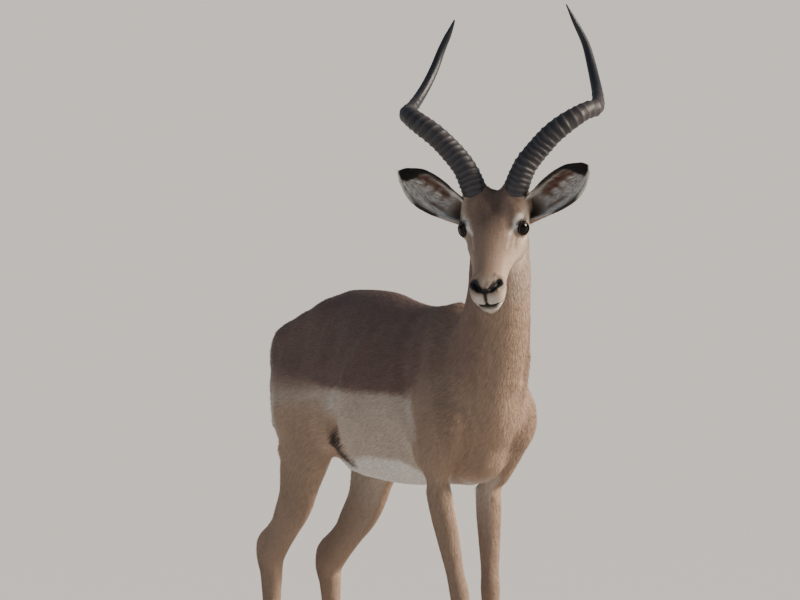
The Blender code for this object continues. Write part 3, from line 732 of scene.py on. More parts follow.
# Where each part lies on the flat map of the hide: left, bottom, width, height
FLAT_MAP = {
    "trunk": (0.005, 0.005, 0.540, 0.520),
    "neck": (0.560, 0.005, 0.250, 0.250),
    "head": (0.560, 0.270, 0.430, 0.340),
    "tail": (0.560, 0.630, 0.080, 0.360),
    "fore_left": (0.005, 0.540, 0.110, 0.455),
    "fore_right": (0.125, 0.540, 0.110, 0.455),
    "hind_left": (0.245, 0.540, 0.145, 0.455),
    "hind_right": (0.400, 0.540, 0.145, 0.455),
}


def part_of(places):
    """The number of the part whose middle line is nearest, for its radius."""
    near_by = [along_line(places, line)[0] / radius for line, radius in BODY_LINES.values()]
    return np.argmin(near_by, axis=0)


def unrolled(places, name, turn_near=None):
    """A part's places opened out flat: the turn round its middle line, and the way along it with its ends."""
    line, radius = BODY_LINES[name]
    _, way, onward, foot, run = along_line(places, line)
    offset = places - foot
    ahead = np.einsum("ij,ij->i", offset, onward)
    level = offset - ahead[:, None] * onward
    across = np.linalg.norm(level, axis=1)
    cap = np.arctan2(ahead, across)
    side = HEAD_AXES.col[0] if name == "head" else Vector((1, 0, 0))
    side = np.array(side) - np.einsum("ij,j->i", onward, np.array(side))[:, None] * onward
    side /= np.linalg.norm(side, axis=1)[:, None]
    if name == "trunk":  # its map is cut along the belly, not along the back
        level = -level
    other = np.cross(onward, side)
    turn = np.arctan2(np.einsum("ij,ij->i", level, side), np.einsum("ij,ij->i", level, other))
    if turn_near is not None:
        turn += 2 * math.pi * np.round((turn_near - turn) / (2 * math.pi))
    return turn, (way + radius * (cap + math.pi / 2)) / (run + radius * math.pi), radius, run


def flat_maps(mesh):
    """Corner maps: one opens the whole hide onto a square, the other is in metres along the hair."""
    places = places_of(mesh)
    count = len(mesh.loops)
    corner = np.empty(count, np.int32)
    mesh.loops.foreach_get("vertex_index", corner)
    starts = np.empty(len(mesh.polygons), np.int32)
    mesh.polygons.foreach_get("loop_start", starts)
    sizes = np.diff(np.append(starts, count))
    middle = np.add.reduceat(places[corner], starts) / sizes[:, None]
    part = part_of(middle)
    face = np.repeat(np.arange(len(starts)), sizes)
    opened, metres = np.zeros((count, 2)), np.zeros((count, 2))
    for k, name in enumerate(BODY_LINES):
        own = part == k
        turn_mid = np.zeros(len(starts))
        turn_mid[own] = unrolled(middle[own], name)[0]
        these = own[face]
        turn, way, radius, run = unrolled(places[corner[these]], name, turn_mid[face[these]])
        left, bottom, wide, high = FLAT_MAP[name]
        opened[these, 0] = left + wide * np.clip(0.5 + turn / (2 * math.pi), -0.01, 1.01)
        opened[these, 1] = bottom + high * np.clip(way, 0, 1)
        metres[these, 0] = turn * radius
        metres[these, 1] = way * (run + radius * math.pi) + k
    return opened, metres, part


def hair_lie(places, normals):
    """Which way the hair lies: along each part to its end, sloping down the flanks."""
    total = np.zeros_like(places)
    for name, (line, radius) in BODY_LINES.items():
        gap, _, onward, _, _ = along_line(places, line)
        share = np.exp(-2.2 * gap / radius)[:, None]
        if name == "trunk":
            onward = onward + np.array((0, 0, -0.45)) * ramp(0.86 - places[:, 2], 0.0, 0.12)[:, None]
        total += share * onward
    total -= np.einsum("ij,ij->i", total, normals)[:, None] * normals
    return total / np.maximum(np.linalg.norm(total, axis=1), 1e-9)[:, None]


def waver(places, size, seed):
    """Smooth uneven values from -1 to 1, about size metres apart."""
    dice = np.random.default_rng(seed)
    total = np.zeros(len(places))
    for _ in range(6):
        wave = dice.normal(size=3)
        total += np.sin(places @ (wave / np.linalg.norm(wave) * 2 * math.pi / size) + dice.uniform(0, 6.28))
    return total / 3.5


SADDLE_EDGE = 0.697  # height of the saddle's lower edge on the flank
BELLY_EDGE = 0.560  # height of the white belly's upper edge
# Lines of the left side that markings follow; the right side has them too
GROIN_FOLD = ((0.119, 0.048, 0.682), (0.118, 0.078, 0.670))
# along the shoulder fold a painted highlight is laid in as pale hair
SHOULDER_FOLD = ((0.094, -0.214, 0.71), (0.098, -0.226, 0.61))
THIGH_EDGE = ((0.118, 0.09, 0.690), (0.115, 0.21, 0.688), (0.10, 0.33, 0.68))
# along the rear edge of the thigh a painted sheen is laid in as pale and white hair
REAR_EDGE = ((0.078, 0.385, 0.760), (0.103, 0.362, 0.700), (0.110, 0.349, 0.653), (0.109, 0.338, 0.590))
BUTTOCK_STRIPE = (
    (0.030, 0.405, 0.835),
    (0.062, 0.400, 0.760),
    (0.094, 0.380, 0.695),
    (0.1005, 0.369, 0.640),
    (0.099, 0.357, 0.600),
)
STRIPE_END = ((0.099, 0.357, 0.600), (0.092, 0.344, 0.545))


def body_markings(places, normals, head, marked):
    """Red, pale, white and black of trunk, neck, legs and tail, with painted shade and highlights among them,
    and the brushes of the hind feet.
    """
    x, y, z = places.T
    out = np.abs(x)
    own_side = np.where(x > 0, 1.0, -1.0)
    ragged = waver(places, 0.045, 3) * 0.5 + waver(places, 0.016, 4) * 0.5

    # the dark saddle over the back, crisp on the flank and soft on thigh, shoulder and neck; below it,
    # painted shade darkens the lower legs
    edge = SADDLE_EDGE + 0.004 * ragged + 0.006 * ramp(-y, 0.22, 0.34)
    soft = 0.009 + 0.030 * ramp(y, 0.10, 0.24) + 0.075 * ramp(-y, 0.19, 0.27)
    saddle = ramp(z - edge, -soft, soft)
    saddle *= 1 - 0.22 * ramp(-y, 0.20, 0.28) + 0.06 * ragged
    front = ramp(-y - 0.22 * (z - 0.70), 0.385, 0.440)
    back_of_neck = ramp(normals[:, 1], -0.5, 0.7)
    saddle = saddle * (1 - front) + front * (0.20 + 0.45 * back_of_neck) * ramp(z, 0.66, 0.76)
    saddle *= 1 - 0.35 * ramp(y, 0.36, 0.44)
    shoulder = ramp(-y, 0.21, 0.25) * (1 - front) * ramp(z, 0.48, 0.66)
    saddle = np.maximum(saddle, (0.34 + 0.08 * ragged) * shoulder)
    # painted shade: the legs grow darker towards the bottom, laid in as saddle colour
    saddle = np.maximum(saddle, 0.24 * ramp(0.54 - z, 0, 0.12))

    # the pale flank band, paler still along the fold of the groin, and painted shade in the crease behind it
    flank = (1 - saddle) * ramp(z, 0.50, 0.56) * ramp(y, -0.235, -0.205)
    behind = y - 0.064 - 0.30 * (0.660 - z) - 0.020 * ramp(0.645 - z, 0, 0.05)
    behind += 0.030 * ramp(0.562 - z, 0, 0.04) + 0.002 * ragged
    flank *= 1 - ramp(behind, -0.004, 0.004)
    fold = marked(GROIN_FOLD, 0.030) * (1 - saddle)
    # painted highlight: a pale line along the shoulder fold
    shoulder_highlight = marked(SHOULDER_FOLD, 0.009) * (1 - saddle)
    thigh_edge = marked(THIGH_EDGE, 0.034)
    # painted sheen: a pale strip along the rear edge of the thigh
    rear_sheen = marked(REAR_EDGE, 0.010)
    pale = 0.75 * flank + 0.5 * shoulder_highlight + (0.65 * thigh_edge + 0.6 * rear_sheen) * (1 - saddle)
    # painted shade: a dark band in the crease behind the flank, wider lower down, laid in as saddle colour
    # and in its lower half as black
    crease_shade_width = 0.003 + 0.026 * ramp(0.605 - z, 0, 0.07)
    crease_shade = ramp(behind, -0.003, 0.002) * (1 - ramp(behind - crease_shade_width, 0, 0.007)) * ramp(out, 0.035, 0.050)
    crease_shade *= ramp(0.700 - z, 0, 0.02) * ramp(z, 0.49, 0.51) * (0.35 + 0.65 * ramp(0.630 - z, 0, 0.03))
    pale = np.maximum(pale, fold)
    saddle = np.maximum(saddle, crease_shade)
    pale *= 1 - head

    # white below: belly, inside of the legs, brisket between the legs, rump and throat, and painted sheen on
    # the thigh's rear edge
    low_edge = BELLY_EDGE - 0.014 * ramp(y, 0.00, 0.10) - 0.030 * ramp(-y, 0.12, 0.20) + 0.002 * ragged
    belly = ramp(low_edge - z, -0.006, 0.006) * ramp(y, -0.215, -0.185) * (1 - ramp(y, 0.145, 0.185))
    belly *= ramp(z - 0.038 * ramp(-y, 0.13, 0.17), 0.45, 0.47)
    belly *= 1 - ramp(y, 0.10, 0.12) * ramp(out, 0.050, 0.065)
    inner = ramp(-normals[:, 0] * own_side, 0.25, 0.75) * ramp(0.60 - z, 0.0, 0.03) * ramp(z, 0.20, 0.50)
    inner = inner * (0.10 + 0.40 * ramp(z, 0.38, 0.60))
    brisket = ramp(0.545 - z, 0, 0.03) * ramp(z, 0.485, 0.505)
    brisket *= ramp(0.055 - out, 0, 0.02) * ramp(-y, 0.20, 0.24)
    brisket *= 0.45 + 0.55 * np.clip(0.5 + waver(places, 0.05, 9), 0, 1)
    rump = ramp(0.052 - out, 0, 0.012) * ramp(y, 0.375, 0.400)
    rump *= ramp(0.80 - z, -0.02, 0.02) * ramp(z, 0.55, 0.60)
    groin = ramp(0.040 - out, 0, 0.02) * ramp(y, 0.14, 0.18) * ramp(0.62 - z, 0, 0.04)
    throat = ramp(z, 0.84, 1.00) * ramp(-normals[:, 1], 0.35, 0.9) * (1 - head) * (1 - ramp(z, 1.02, 1.06))
    # painted shade: the belly's white is held back to 0.85 of full
    white = 0.85 * belly + 0.22 * rear_sheen + inner + 0.65 * brisket
    white = np.clip(white + 0.12 * fold + rump + groin + 0.10 * throat, 0, 1)
    pale = np.clip(pale + 0.45 * throat, 0, 1)
    tail = ramp(0.030 - np.hypot(out, y - 0.466), 0.004, 0.012)
    white = np.maximum(white, tail * ramp(0.80 - z, 0, 0.02) * ramp(z, 0.45, 0.48))

    # black: a stripe down each buttock and down the tail, brushes on the hind feet, dark over the hooves, and
    # painted shade low in the crease behind the flank
    stripe = np.maximum(marked(BUTTOCK_STRIPE, 0.0080, 1.25), marked(STRIPE_END, 0.0040))
    tail_stripe = ramp(0.009 - out, 0, 0.004) * ramp(normals[:, 1], 0.1, 0.5)
    tail_stripe *= ramp(y, 0.40, 0.43) * ramp(z, 0.5, 0.56)
    brushes = np.zeros(len(places))
    for side in (LEFT, RIGHT):
        ankle = HIND_JOINTS[side][3]
        brush = np.array((ankle[0] * side, ankle[1] + 0.030, ankle[2] + 0.076))
        gap = np.linalg.norm((places - brush) * (1, 1, 0.45), axis=1)
        brushes = np.maximum(brushes, ramp(0.018 - gap, 0, 0.006))
    feet = ramp(0.058 - z, 0, 0.012)
    black = np.clip(stripe + tail_stripe, 0, 1)
    for mark in (brushes, 0.75 * feet, 0.75 * crease_shade * ramp(0.625 - z, 0, 0.03)):
        black = np.maximum(black, mark)
    return saddle, pale, white, black, brushes


# Lines of the nose and mouth: the line, how far its black reaches and how strong it is
NOSE_LINES = (
    (NOSTRIL[:2], 0.0085, 1.9),
    (NOSTRIL[1:], 0.0060, 1.9),
    (NOSTRIL_MEETING, 0.0050, 1.9),
    (((0.0205, 0.2330, -0.0370), (0.0180, 0.2370, -0.0400)), 0.0085, 1.9),
    (PHILTRUM, 0.0036, 1.9),
    (MOUTH[:2], 0.0042, 1.9),
    (MOUTH[1:4], 0.0032, 1.5),
)
UNDERLIP = ((0, 0.2541, -0.0755), (0.012, 0.2505, -0.0755))
CROWN_SPOT = ((0, 0.020, -0.002), (0, 0.008, -0.010))
TEAR_LINE = ((0.046, 0.108, -0.026), (0.043, 0.130, -0.038))
UNDER_EYE = ((0.062, 0.100, -0.046), (0.066, 0.080, -0.046))
ABOVE_EYE = ((0.056, 0.070, -0.012), (0.050, 0.098, -0.014))
EYE_CORNER = ((0.0625, 0.076, -0.013), (0.066, 0.069, -0.010))


def face_markings(places, marked):
    """Red, pale, white and black of the face, and where its skin is bare."""
    face = in_head_axes(places)
    away, along, up = np.abs(face[:, 0]), face[:, 1], face[:, 2]

    # dark crown fading down the bridge, pale cheeks
    crown = ramp(up, -0.040, -0.010) * (1 - ramp(along, 0.070, 0.170)) * 0.74
    bridge = ramp(up, -0.040, -0.015) * (1 - ramp(along, 0.205, 0.235)) * 0.36
    red = np.maximum(crown, bridge) * ramp(0.050 - away, -0.010, 0.012)
    above_eye = marked(ABOVE_EYE, 0.010, on_face=True)
    pale = (1 - ramp(red, 0.0, 0.30)) * 0.40 + 0.8 * above_eye
    red *= 1 - 0.7 * above_eye

    # white brow, lips and chin
    brow = 0.95 * marked(BROW[:2], 0.0046, 1.1, True) + 0.85 * marked(BROW[1:3], 0.0036, 1.0, True)
    brow = np.clip(brow, 0, 0.92) + 0.30 * marked(BROW[2:], 0.0026, 1.0, True)
    jaw = ramp(-0.100 - up, -0.014, 0.010) * (1 - ramp(along, 0.235, 0.245))
    lips = ramp(along, 0.216, 0.238) * ramp(-0.042 - up, -0.005, 0.006)
    lips *= 1 - 0.75 * ramp(away, 0.016, 0.030)
    lower = ramp(along, 0.150, 0.215) * ramp(-0.062 - up, -0.008, 0.010)
    lower *= 1 - 0.45 * ramp(away, 0.018, 0.030)
    under_eye = marked(UNDER_EYE, 0.010, 0.5, True)
    white = np.clip(0.95 * brow + 0.8 * jaw + 0.46 * lips + 0.75 * lower + under_eye, 0, 1)

    # black nose, mouth, eye rims and tear lines, a spot on the crown and a faint dark blaze
    crown_spot = marked(CROWN_SPOT, 0.0085, 1.4, True)
    tear = 0.22 * marked(TEAR_LINE, 0.0095, 1.0, True)
    blaze = 0.42 * ramp(0.020 - away, -0.016, 0.008) * ramp(up, -0.040, -0.015)
    blaze *= 1 - ramp(along, 0.070, 0.150)
    nose = sum(marked(line, reach, strength, True) for line, reach, strength in NOSE_LINES)
    underlip = 0.95 * marked(UNDERLIP, 0.0066, 1.5, True)
    rims = np.zeros(len(places))
    for side, middle in zip((LEFT, RIGHT), eyes_at):
        _, radius, toward, gap = seen_from_eye(places, side, middle)
        rims += (1 - ramp(gap, 1.06, 1.22)) * (toward[:, 2] > 0) * (radius < EYE_RADIUS * 1.3)
    rims += 0.8 * marked(EYE_CORNER, 0.0042, 1.0, True)
    black = 0.95 * crown_spot + blaze + tear + nose + underlip + rims
    return red, pale, white, black, np.clip(nose + rims + 0.7 * underlip, 0, 1)


def markings(mesh):
    """How red, pale, white and black the hair is at each point, painted shade and highlights included, and
    where the skin is bare.
    """
    places, normals = places_of(mesh), normals_of(mesh)
    surface = surface_of(mesh, places)
    nape = np.array(by_horns(0, -0.088, -0.020))
    beyond = (places - nape) @ np.array(LEVEL_AXES @ Vector((0, 0.30, 0.95)).normalized())
    head = ramp(beyond, -0.020, 0.015) * ramp(places[:, 2], 0.86, 0.90)

    def marked(line, reach, strength=1.0, on_face=False):
        """Up to 1 along a line of the left side and its like on the right, fading past reach."""
        share = np.zeros(len(places))
        for turned in both_sides(line, on_face):
            share = np.maximum(share, closeness(places, snapped(surface, turned), reach))
        return np.clip(share * strength, 0, 1)

    saddle, pale, white, black, brushes = body_markings(places, normals, head, marked)
    face_red, face_pale, face_white, face_black, bare = face_markings(places, marked)
    black = np.clip(black * (1 - head) + head * face_black, 0, 1)
    return {
        "saddle": saddle * (1 - head) + face_red * head,
        "pale": np.clip(pale + head * face_pale, 0, 1),
        "white": (white * (1 - head) + head * face_white) * (1 - black),
        "black": black,
        "bare": bare * head,
        "head": head,
        "brush": brushes,
    }


def put(mesh, name, kind, domain, values):
    """Stores one value or vector for every point, corner or face."""
    layer = mesh.attributes.new(name, kind, domain)
    layer.data.foreach_set("vector" if kind in ("FLOAT_VECTOR", "FLOAT2") else "value", np.ravel(values))


COVER = 3.4  # how many tufts deep the coat lies
LONG_HAIR = 0.022  # past this length the hair grows no sparser
# Length of the hair
LEG_HAIR = 0.0075
BODY_HAIR = 0.0150
FACE_HAIR = 0.0080
MUZZLE_HAIR = 0.0032
TAIL_HAIR = 0.050
BRUSH_HAIR = 0.020
WHITE_HAIR = 0.004  # added where the hair is white


def label_hide(mesh):
    """Stores the markings, the hair's length, width and lie, and the flat maps on the hide."""
    places, normals = places_of(mesh), normals_of(mesh)
    found = markings(mesh)
    for name in ("saddle", "pale", "white", "black", "bare"):
        put(mesh, name, "FLOAT", "POINT", found[name])
    put(mesh, "lie", "FLOAT_VECTOR", "POINT", hair_lie(places, normals))
    head, z = found["head"], places[:, 2]
    face = in_head_axes(places)
    long = LEG_HAIR + (BODY_HAIR - LEG_HAIR) * ramp(z, 0.30, 0.60)
    muzzle_share = ramp(face[:, 1], 0.06, 0.20)
    long = long * (1 - head) + head * (FACE_HAIR - (FACE_HAIR - MUZZLE_HAIR) * muzzle_share)
    long += WHITE_HAIR * found["white"] * (1 - head)
    tail = ramp(places[:, 1], 0.425, 0.445) * ramp(z, 0.49, 0.51)
    tail *= 1 - ramp(np.abs(places[:, 0]), 0.030, 0.045)
    long = long * (1 - tail) + TAIL_HAIR * tail
    brush = found["brush"]
    long = long * (1 - brush) + BRUSH_HAIR * brush
    wide = 0.0011 + 0.0006 * ramp(z, 0.30, 0.60)
    wide = wide * (1 - head) + head * (0.0012 - 0.0004 * muzzle_share)
    wide = wide + 0.0010 * tail
    dense = COVER / (np.minimum(long, LONG_HAIR) * wide) * (1 - np.clip(found["bare"] * 1.5, 0, 1))
    put(mesh, "long", "FLOAT", "POINT", long)
    put(mesh, "wide", "FLOAT", "POINT", wide)
    put(mesh, "dense", "FLOAT", "POINT", dense)
    opened, metres, part = flat_maps(mesh)
    uv = mesh.uv_layers.new(name="OFBake", do_init=False)
    uv.uv.foreach_set("vector", opened.astype(np.float32).ravel())
    strands = mesh.uv_layers.new(name="along_hair", do_init=False)
    strands.uv.foreach_set("vector", metres.astype(np.float32).ravel())
    put(mesh, "root", "FLOAT_VECTOR", "CORNER", np.column_stack([opened, np.zeros(len(opened))]))
    middles = np.empty(len(mesh.polygons) * 3)
    mesh.polygons.foreach_get("center", middles)
    middles = middles.reshape(-1, 3)
    # the trunk's coat is cut in four, left and right of the spine and ahead of and behind the mid back
    quarter = (middles[:, 1] > 0.0) * 2 + (middles[:, 0] < 0)
    part = np.where(part == 0, quarter, part + 3).astype(np.int32)
    put(mesh, "part", "INT", "FACE", part)


label_hide(hide.data)

# Colours of the hair
TAN = (0.362, 0.246, 0.168)
# RUFOUS also colours the painted shade on the lower legs and in the crease behind the flank
RUFOUS = (0.142, 0.087, 0.070)
FAWN = (0.455, 0.385, 0.320)
WHITE = (0.74, 0.71, 0.66)
BLACK = (0.007, 0.006, 0.0055)
RUST = (0.090, 0.029, 0.015)
SKIN = (0.062, 0.041, 0.037)  # seen between the hairs inside the ears


class Nodes:
    """Makes and joins the nodes of one tree in few words."""

    def __init__(self, tree):
        self.tree = tree

    def add(self, kind, inputs=(), **settings):
        node = self.tree.nodes.new(kind)
        for name, value in settings.items():
            setattr(node, name, value)
        for name, value in dict(inputs).items():
            socket = node.inputs[name]
            if hasattr(value, "is_output"):
                self.tree.links.new(value, socket)
            else:
                socket.default_value = value
        return node

    def join(self, output, socket):
        self.tree.links.new(output, socket)

    def press(self, shader, height, strength, depth):
        """Fine relief in the surface, by a height from 0 to 1."""
        bump = self.add("ShaderNodeBump", {"Height": height, "Strength": strength, "Distance": depth})
        self.join(bump.outputs[0], shader.inputs["Normal"])

    def noise(self, spot, scale, detail):
        """Soft uneven values about a half."""
        inputs = {"Vector": spot, "Scale": scale, "Detail": detail}
        return self.add("ShaderNodeTexNoise", inputs).outputs["Fac"]

    def value(self, name):
        """The value that every point of the surface carries under a name."""
        return self.add("ShaderNodeAttribute", attribute_name=name).outputs["Fac"]

    def maths(self, operation, *values):
        return self.add("ShaderNodeMath", dict(enumerate(values)), operation=operation).outputs[0]

    def mix(self, share, first, second, blend="MIX"):
        """One colour out of two; each may be a socket or a plain colour."""
        node = self.tree.nodes.new("ShaderNodeMix")
        node.data_type = "RGBA"
        node.blend_type = blend
        for socket, value in ((node.inputs[0], share), (node.inputs[6], first), (node.inputs[7], second)):
            if hasattr(value, "is_output"):
                self.tree.links.new(value, socket)
            elif socket.type == "RGBA":
                socket.default_value = (*value[:3], 1)
            else:
                socket.default_value = value
        return node.outputs[2]


def coat_colour(nodes, tone):
    """The markings mixed into one colour, a little lighter or darker by tone."""
    spot = nodes.add("ShaderNodeTexCoord").outputs["Object"]
    cloud = nodes.noise(spot, 9.0, 3.0)
    ground = nodes.mix(nodes.value("pale"), TAN, FAWN)
    # the saddle channel also carries painted shade on the lower legs and in the crease behind the flank
    ground = nodes.mix(nodes.value("saddle"), ground, RUFOUS)
    ground = nodes.mix(nodes.value("white"), ground, WHITE)
    shift = nodes.maths("MULTIPLY_ADD", cloud, 0.30, 0.85)
    shift = nodes.maths("MULTIPLY", shift, tone)
    shade = nodes.add("ShaderNodeCombineColor", {"Red": shift, "Green": shift, "Blue": shift}).outputs[0]
    ground = nodes.mix(1.0, ground, shade, "MULTIPLY")
    ground = nodes.mix(nodes.value("rust"), ground, RUST)
    return nodes.mix(nodes.value("black"), ground, BLACK)


def hide_material():
    """Skin under the coat: the same colours, with fine strands pressed into it along the hair."""
    made = bpy.data.materials.new("hide")
    made.use_nodes = True
    nodes = Nodes(made.node_tree)
    shader = made.node_tree.nodes["Principled BSDF"]
    lay = nodes.add("ShaderNodeUVMap", uv_map="along_hair").outputs[0]
    strands = nodes.add("ShaderNodeMapping", {"Vector": lay, "Scale": (900, 110, 1)}).outputs[0]
    hair = nodes.noise(strands, 1.0, 3.0)
    tone = nodes.maths("MULTIPLY_ADD", hair, 0.36, 0.82)
    under = nodes.maths("MULTIPLY", nodes.value("under"), 0.75)
    skin = nodes.mix(under, coat_colour(nodes, tone), SKIN)
    nodes.join(skin, shader.inputs["Base Color"])
    shader.inputs["Specular IOR Level"].default_value = 0.35
    rough = nodes.maths("MULTIPLY_ADD", nodes.value("bare"), -0.30, 0.80)
    nodes.join(rough, shader.inputs["Roughness"])
    height = nodes.maths("MULTIPLY", hair, nodes.maths("SUBTRACT", 1.0, nodes.value("bare")))
    nodes.press(shader, height, 0.45, 0.0012)
    return made


hide.data.materials.clear()
hide.data.materials.append(hide_material())
hide.data.transform(Matrix.Translation(-BOX_MIDDLE))
FLESH = [
    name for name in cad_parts
    if name.split("_")[0] in ("trunk", "neck", "head", "tail", "forearm", "gaskin")
    or name.startswith(("fore_", "hind_"))
]
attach(hide, "root")
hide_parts(*FLESH)

# ---------------------------------------------------------------------------------------------
# Eyes. A glass-smooth dark ball on each side, its pupil a wide level oval in a brown iris, held
# between black lid rims. The upper rim is thicker and hangs over the ball, with lashes along it.
# ---------------------------------------------------------------------------------------------


def glossy(name, roughness, clear=0.0):
    """A material of one roughness under a share of clear polish, with its nodes and its shader."""
    made = bpy.data.materials.new(name)
    made.use_nodes = True
    shader = made.node_tree.nodes["Principled BSDF"]
    shader.inputs["Roughness"].default_value = roughness
    shader.inputs["Coat Weight"].default_value = clear
    shader.inputs["Coat Roughness"].default_value = 0.03
    return made, Nodes(made.node_tree), shader


def eye_material():
    """Wide level pupil in a dark iris; facing is the way out of the eye, as eye_axes has it."""
    made, nodes, shader = glossy("eyeball", 0.04)
    shader.inputs["IOR"].default_value = 1.36
    shader.inputs["Specular IOR Level"].default_value = 0.30
    facing = nodes.add("ShaderNodeAttribute", attribute_name="facing").outputs["Vector"]
    split = nodes.add("ShaderNodeSeparateXYZ", {"Vector": facing})
    level = nodes.maths("DIVIDE", split.outputs[0], 0.44)
    upright = nodes.maths("DIVIDE", split.outputs[1], 0.24)
    squares = nodes.maths("ADD", nodes.maths("POWER", level, 2.0), nodes.maths("POWER", upright, 2.0))
    far = nodes.maths("SQRT", squares)
    pupil = nodes.add("ShaderNodeMapRange", {"Value": far, "From Min": 0.92, "From Max": 1.10}).outputs[0]
    turn = nodes.maths("ARCTAN2", split.outputs[1], split.outputs[0])
    rays = nodes.add("ShaderNodeCombineXYZ", {"X": nodes.maths("MULTIPLY", turn, 9.0), "Y": far})
    rays = nodes.noise(rays.outputs[0], 2.0, 3.0)
    iris = nodes.mix(rays, (0.002, 0.001, 0.001), (0.009, 0.004, 0.0025))
    edge = nodes.add("ShaderNodeMapRange", {"Value": split.outputs[2], "From Min": 0.66, "From Max": 0.78})
    iris = nodes.mix(edge.outputs[0], (0.006, 0.004, 0.003), iris)
    nodes.join(nodes.mix(pupil, (0.0015, 0.0015, 0.002), iris), shader.inputs["Base Color"])
    return made


def piece(name, mesh, made, node=None):
    """Puts one finished piece on show, riding with the body and taking the place of its plain node."""
    mesh.materials.clear()
    mesh.materials.append(made)
    mesh.transform(Matrix.Translation(-BOX_MIDDLE))
    thing = new_object(name, mesh, scene_parts)
    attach(thing, "root")
    if node:
        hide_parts(node)
    return thing


def rim_point(side, middle, turn, reach=1.0, lift=0.0012):
    """A point on the edge of the lids: turn 0 is the inner corner and a quarter turn the top."""
    out, above = EYE_OPENING[0] * math.cos(turn) * reach, EYE_OPENING[1] * math.sin(turn) * reach
    ahead = math.sqrt(max(0.05, 1 - out * out - above * above))
    return middle + eye_axes(side) @ Vector((out, above, ahead)).normalized() * (EYE_RADIUS + lift)


def lid_rim(side, middle):
    """A ring round the opening: fuller above, drawn out to a point at the outer corner."""
    form = bmesh.new()
    rings = []
    steps, sides = 72, 8
    for k in range(steps):
        turn = 2 * math.pi * k / steps
        upper = max(0.0, math.sin(turn))
        outer = max(0.0, -math.cos(turn)) ** 6
        thick = 0.0010 + 0.0011 * upper + 0.0005 * outer
        place = rim_point(side, middle, turn, 1.03 + 0.20 * outer, 0.0007 + 0.0005 * upper)
        onward = (rim_point(side, middle, turn + 0.05) - rim_point(side, middle, turn - 0.05)).normalized()
        away = (place - middle).normalized()
        across = onward.cross(away).normalized()
        rings.append([
            form.verts.new(place + (away * math.cos(a) + across * math.sin(a)) * thick)
            for a in (2 * math.pi * i / sides for i in range(sides))
        ])
    for low, top in zip(rings, rings[1:] + rings[:1]):
        for i in range(sides):
            j = (i + 1) % sides
            form.faces.new((low[i], low[j], top[j], top[i]))
    mesh = mesh_from(form, "lid")
    mesh.shade_smooth()
    return mesh


ball_look = eye_material()
lid_look, nodes, shader = glossy("lid", 0.70)
shader.inputs["Specular IOR Level"].default_value = 0.12
spot = nodes.add("ShaderNodeTexCoord").outputs["Object"]
grain = nodes.noise(spot, 900.0, 2.0)
lid_black = nodes.mix(grain, (0.004, 0.0035, 0.0035), (0.014, 0.012, 0.011))
nodes.join(lid_black, shader.inputs["Base Color"])
nodes.press(shader, grain, 0.4, 0.0004)

for (side, hand), middle in zip(SIDES, eyes_at):
    axes = eye_axes(side)
    form = bmesh.new()
    turned = Matrix.Translation(middle) @ axes.to_4x4()
    bmesh.ops.create_uvsphere(form, u_segments=48, v_segments=32, radius=EYE_RADIUS, matrix=turned)
    mesh = mesh_from(form, "eyeball")
    mesh.shade_smooth()
    facing = (places_of(mesh) - np.array(middle)) @ np.array(axes) / EYE_RADIUS
    put(mesh, "facing", "FLOAT_VECTOR", "POINT", facing)
    piece(f"eyeball_{hand}", mesh, ball_look, f"eye_{hand}")
    lid = piece(f"lid_{hand}", lid_rim(side, middle), lid_look)

# ---------------------------------------------------------------------------------------------
# Horns. Lyre-shaped sheaths of dark slate-brown horn, each grown from the forehead. Uneven raised
# rings stand close together on the lower two thirds, strongest in front; the tips are smooth.
# ---------------------------------------------------------------------------------------------

HORN = (  # out, up and ahead of the middle between the feet, as a level head has it, and radius
    (0.034, -0.024, -0.004, 0.0240),
    (0.041, 0.002, 0.000, 0.0240),
    (0.050, 0.025, -0.001, 0.0235),
    (0.060, 0.046, -0.003, 0.0225),
    (0.077, 0.069, -0.008, 0.0220),
    (0.094, 0.088, -0.012, 0.0215),
    (0.115, 0.109, -0.015, 0.0208),
    (0.137, 0.126, -0.021, 0.0200),
    (0.158, 0.140, -0.032, 0.0190),
    (0.176, 0.151, -0.052, 0.0172),
    (0.190, 0.156, -0.084, 0.0150),
    (0.188, 0.167, -0.120, 0.0125),
    (0.180, 0.187, -0.156, 0.0110),
    (0.170, 0.212, -0.186, 0.0100),
    (0.160, 0.240, -0.210, 0.0092),
    (0.145, 0.284, -0.231, 0.0075),
    (0.125, 0.326, -0.236, 0.0052),
    (0.109, 0.362, -0.232, 0.0016),
)
HORN_SPAN = {LEFT: 1.0, RIGHT: 0.955}  # of that curve, as the right one is a little shorter
HORN_STEP = 0.0018  # between the rows of the fine loft
RINGS = 60  # more than the ringed part holds; the rest fade out


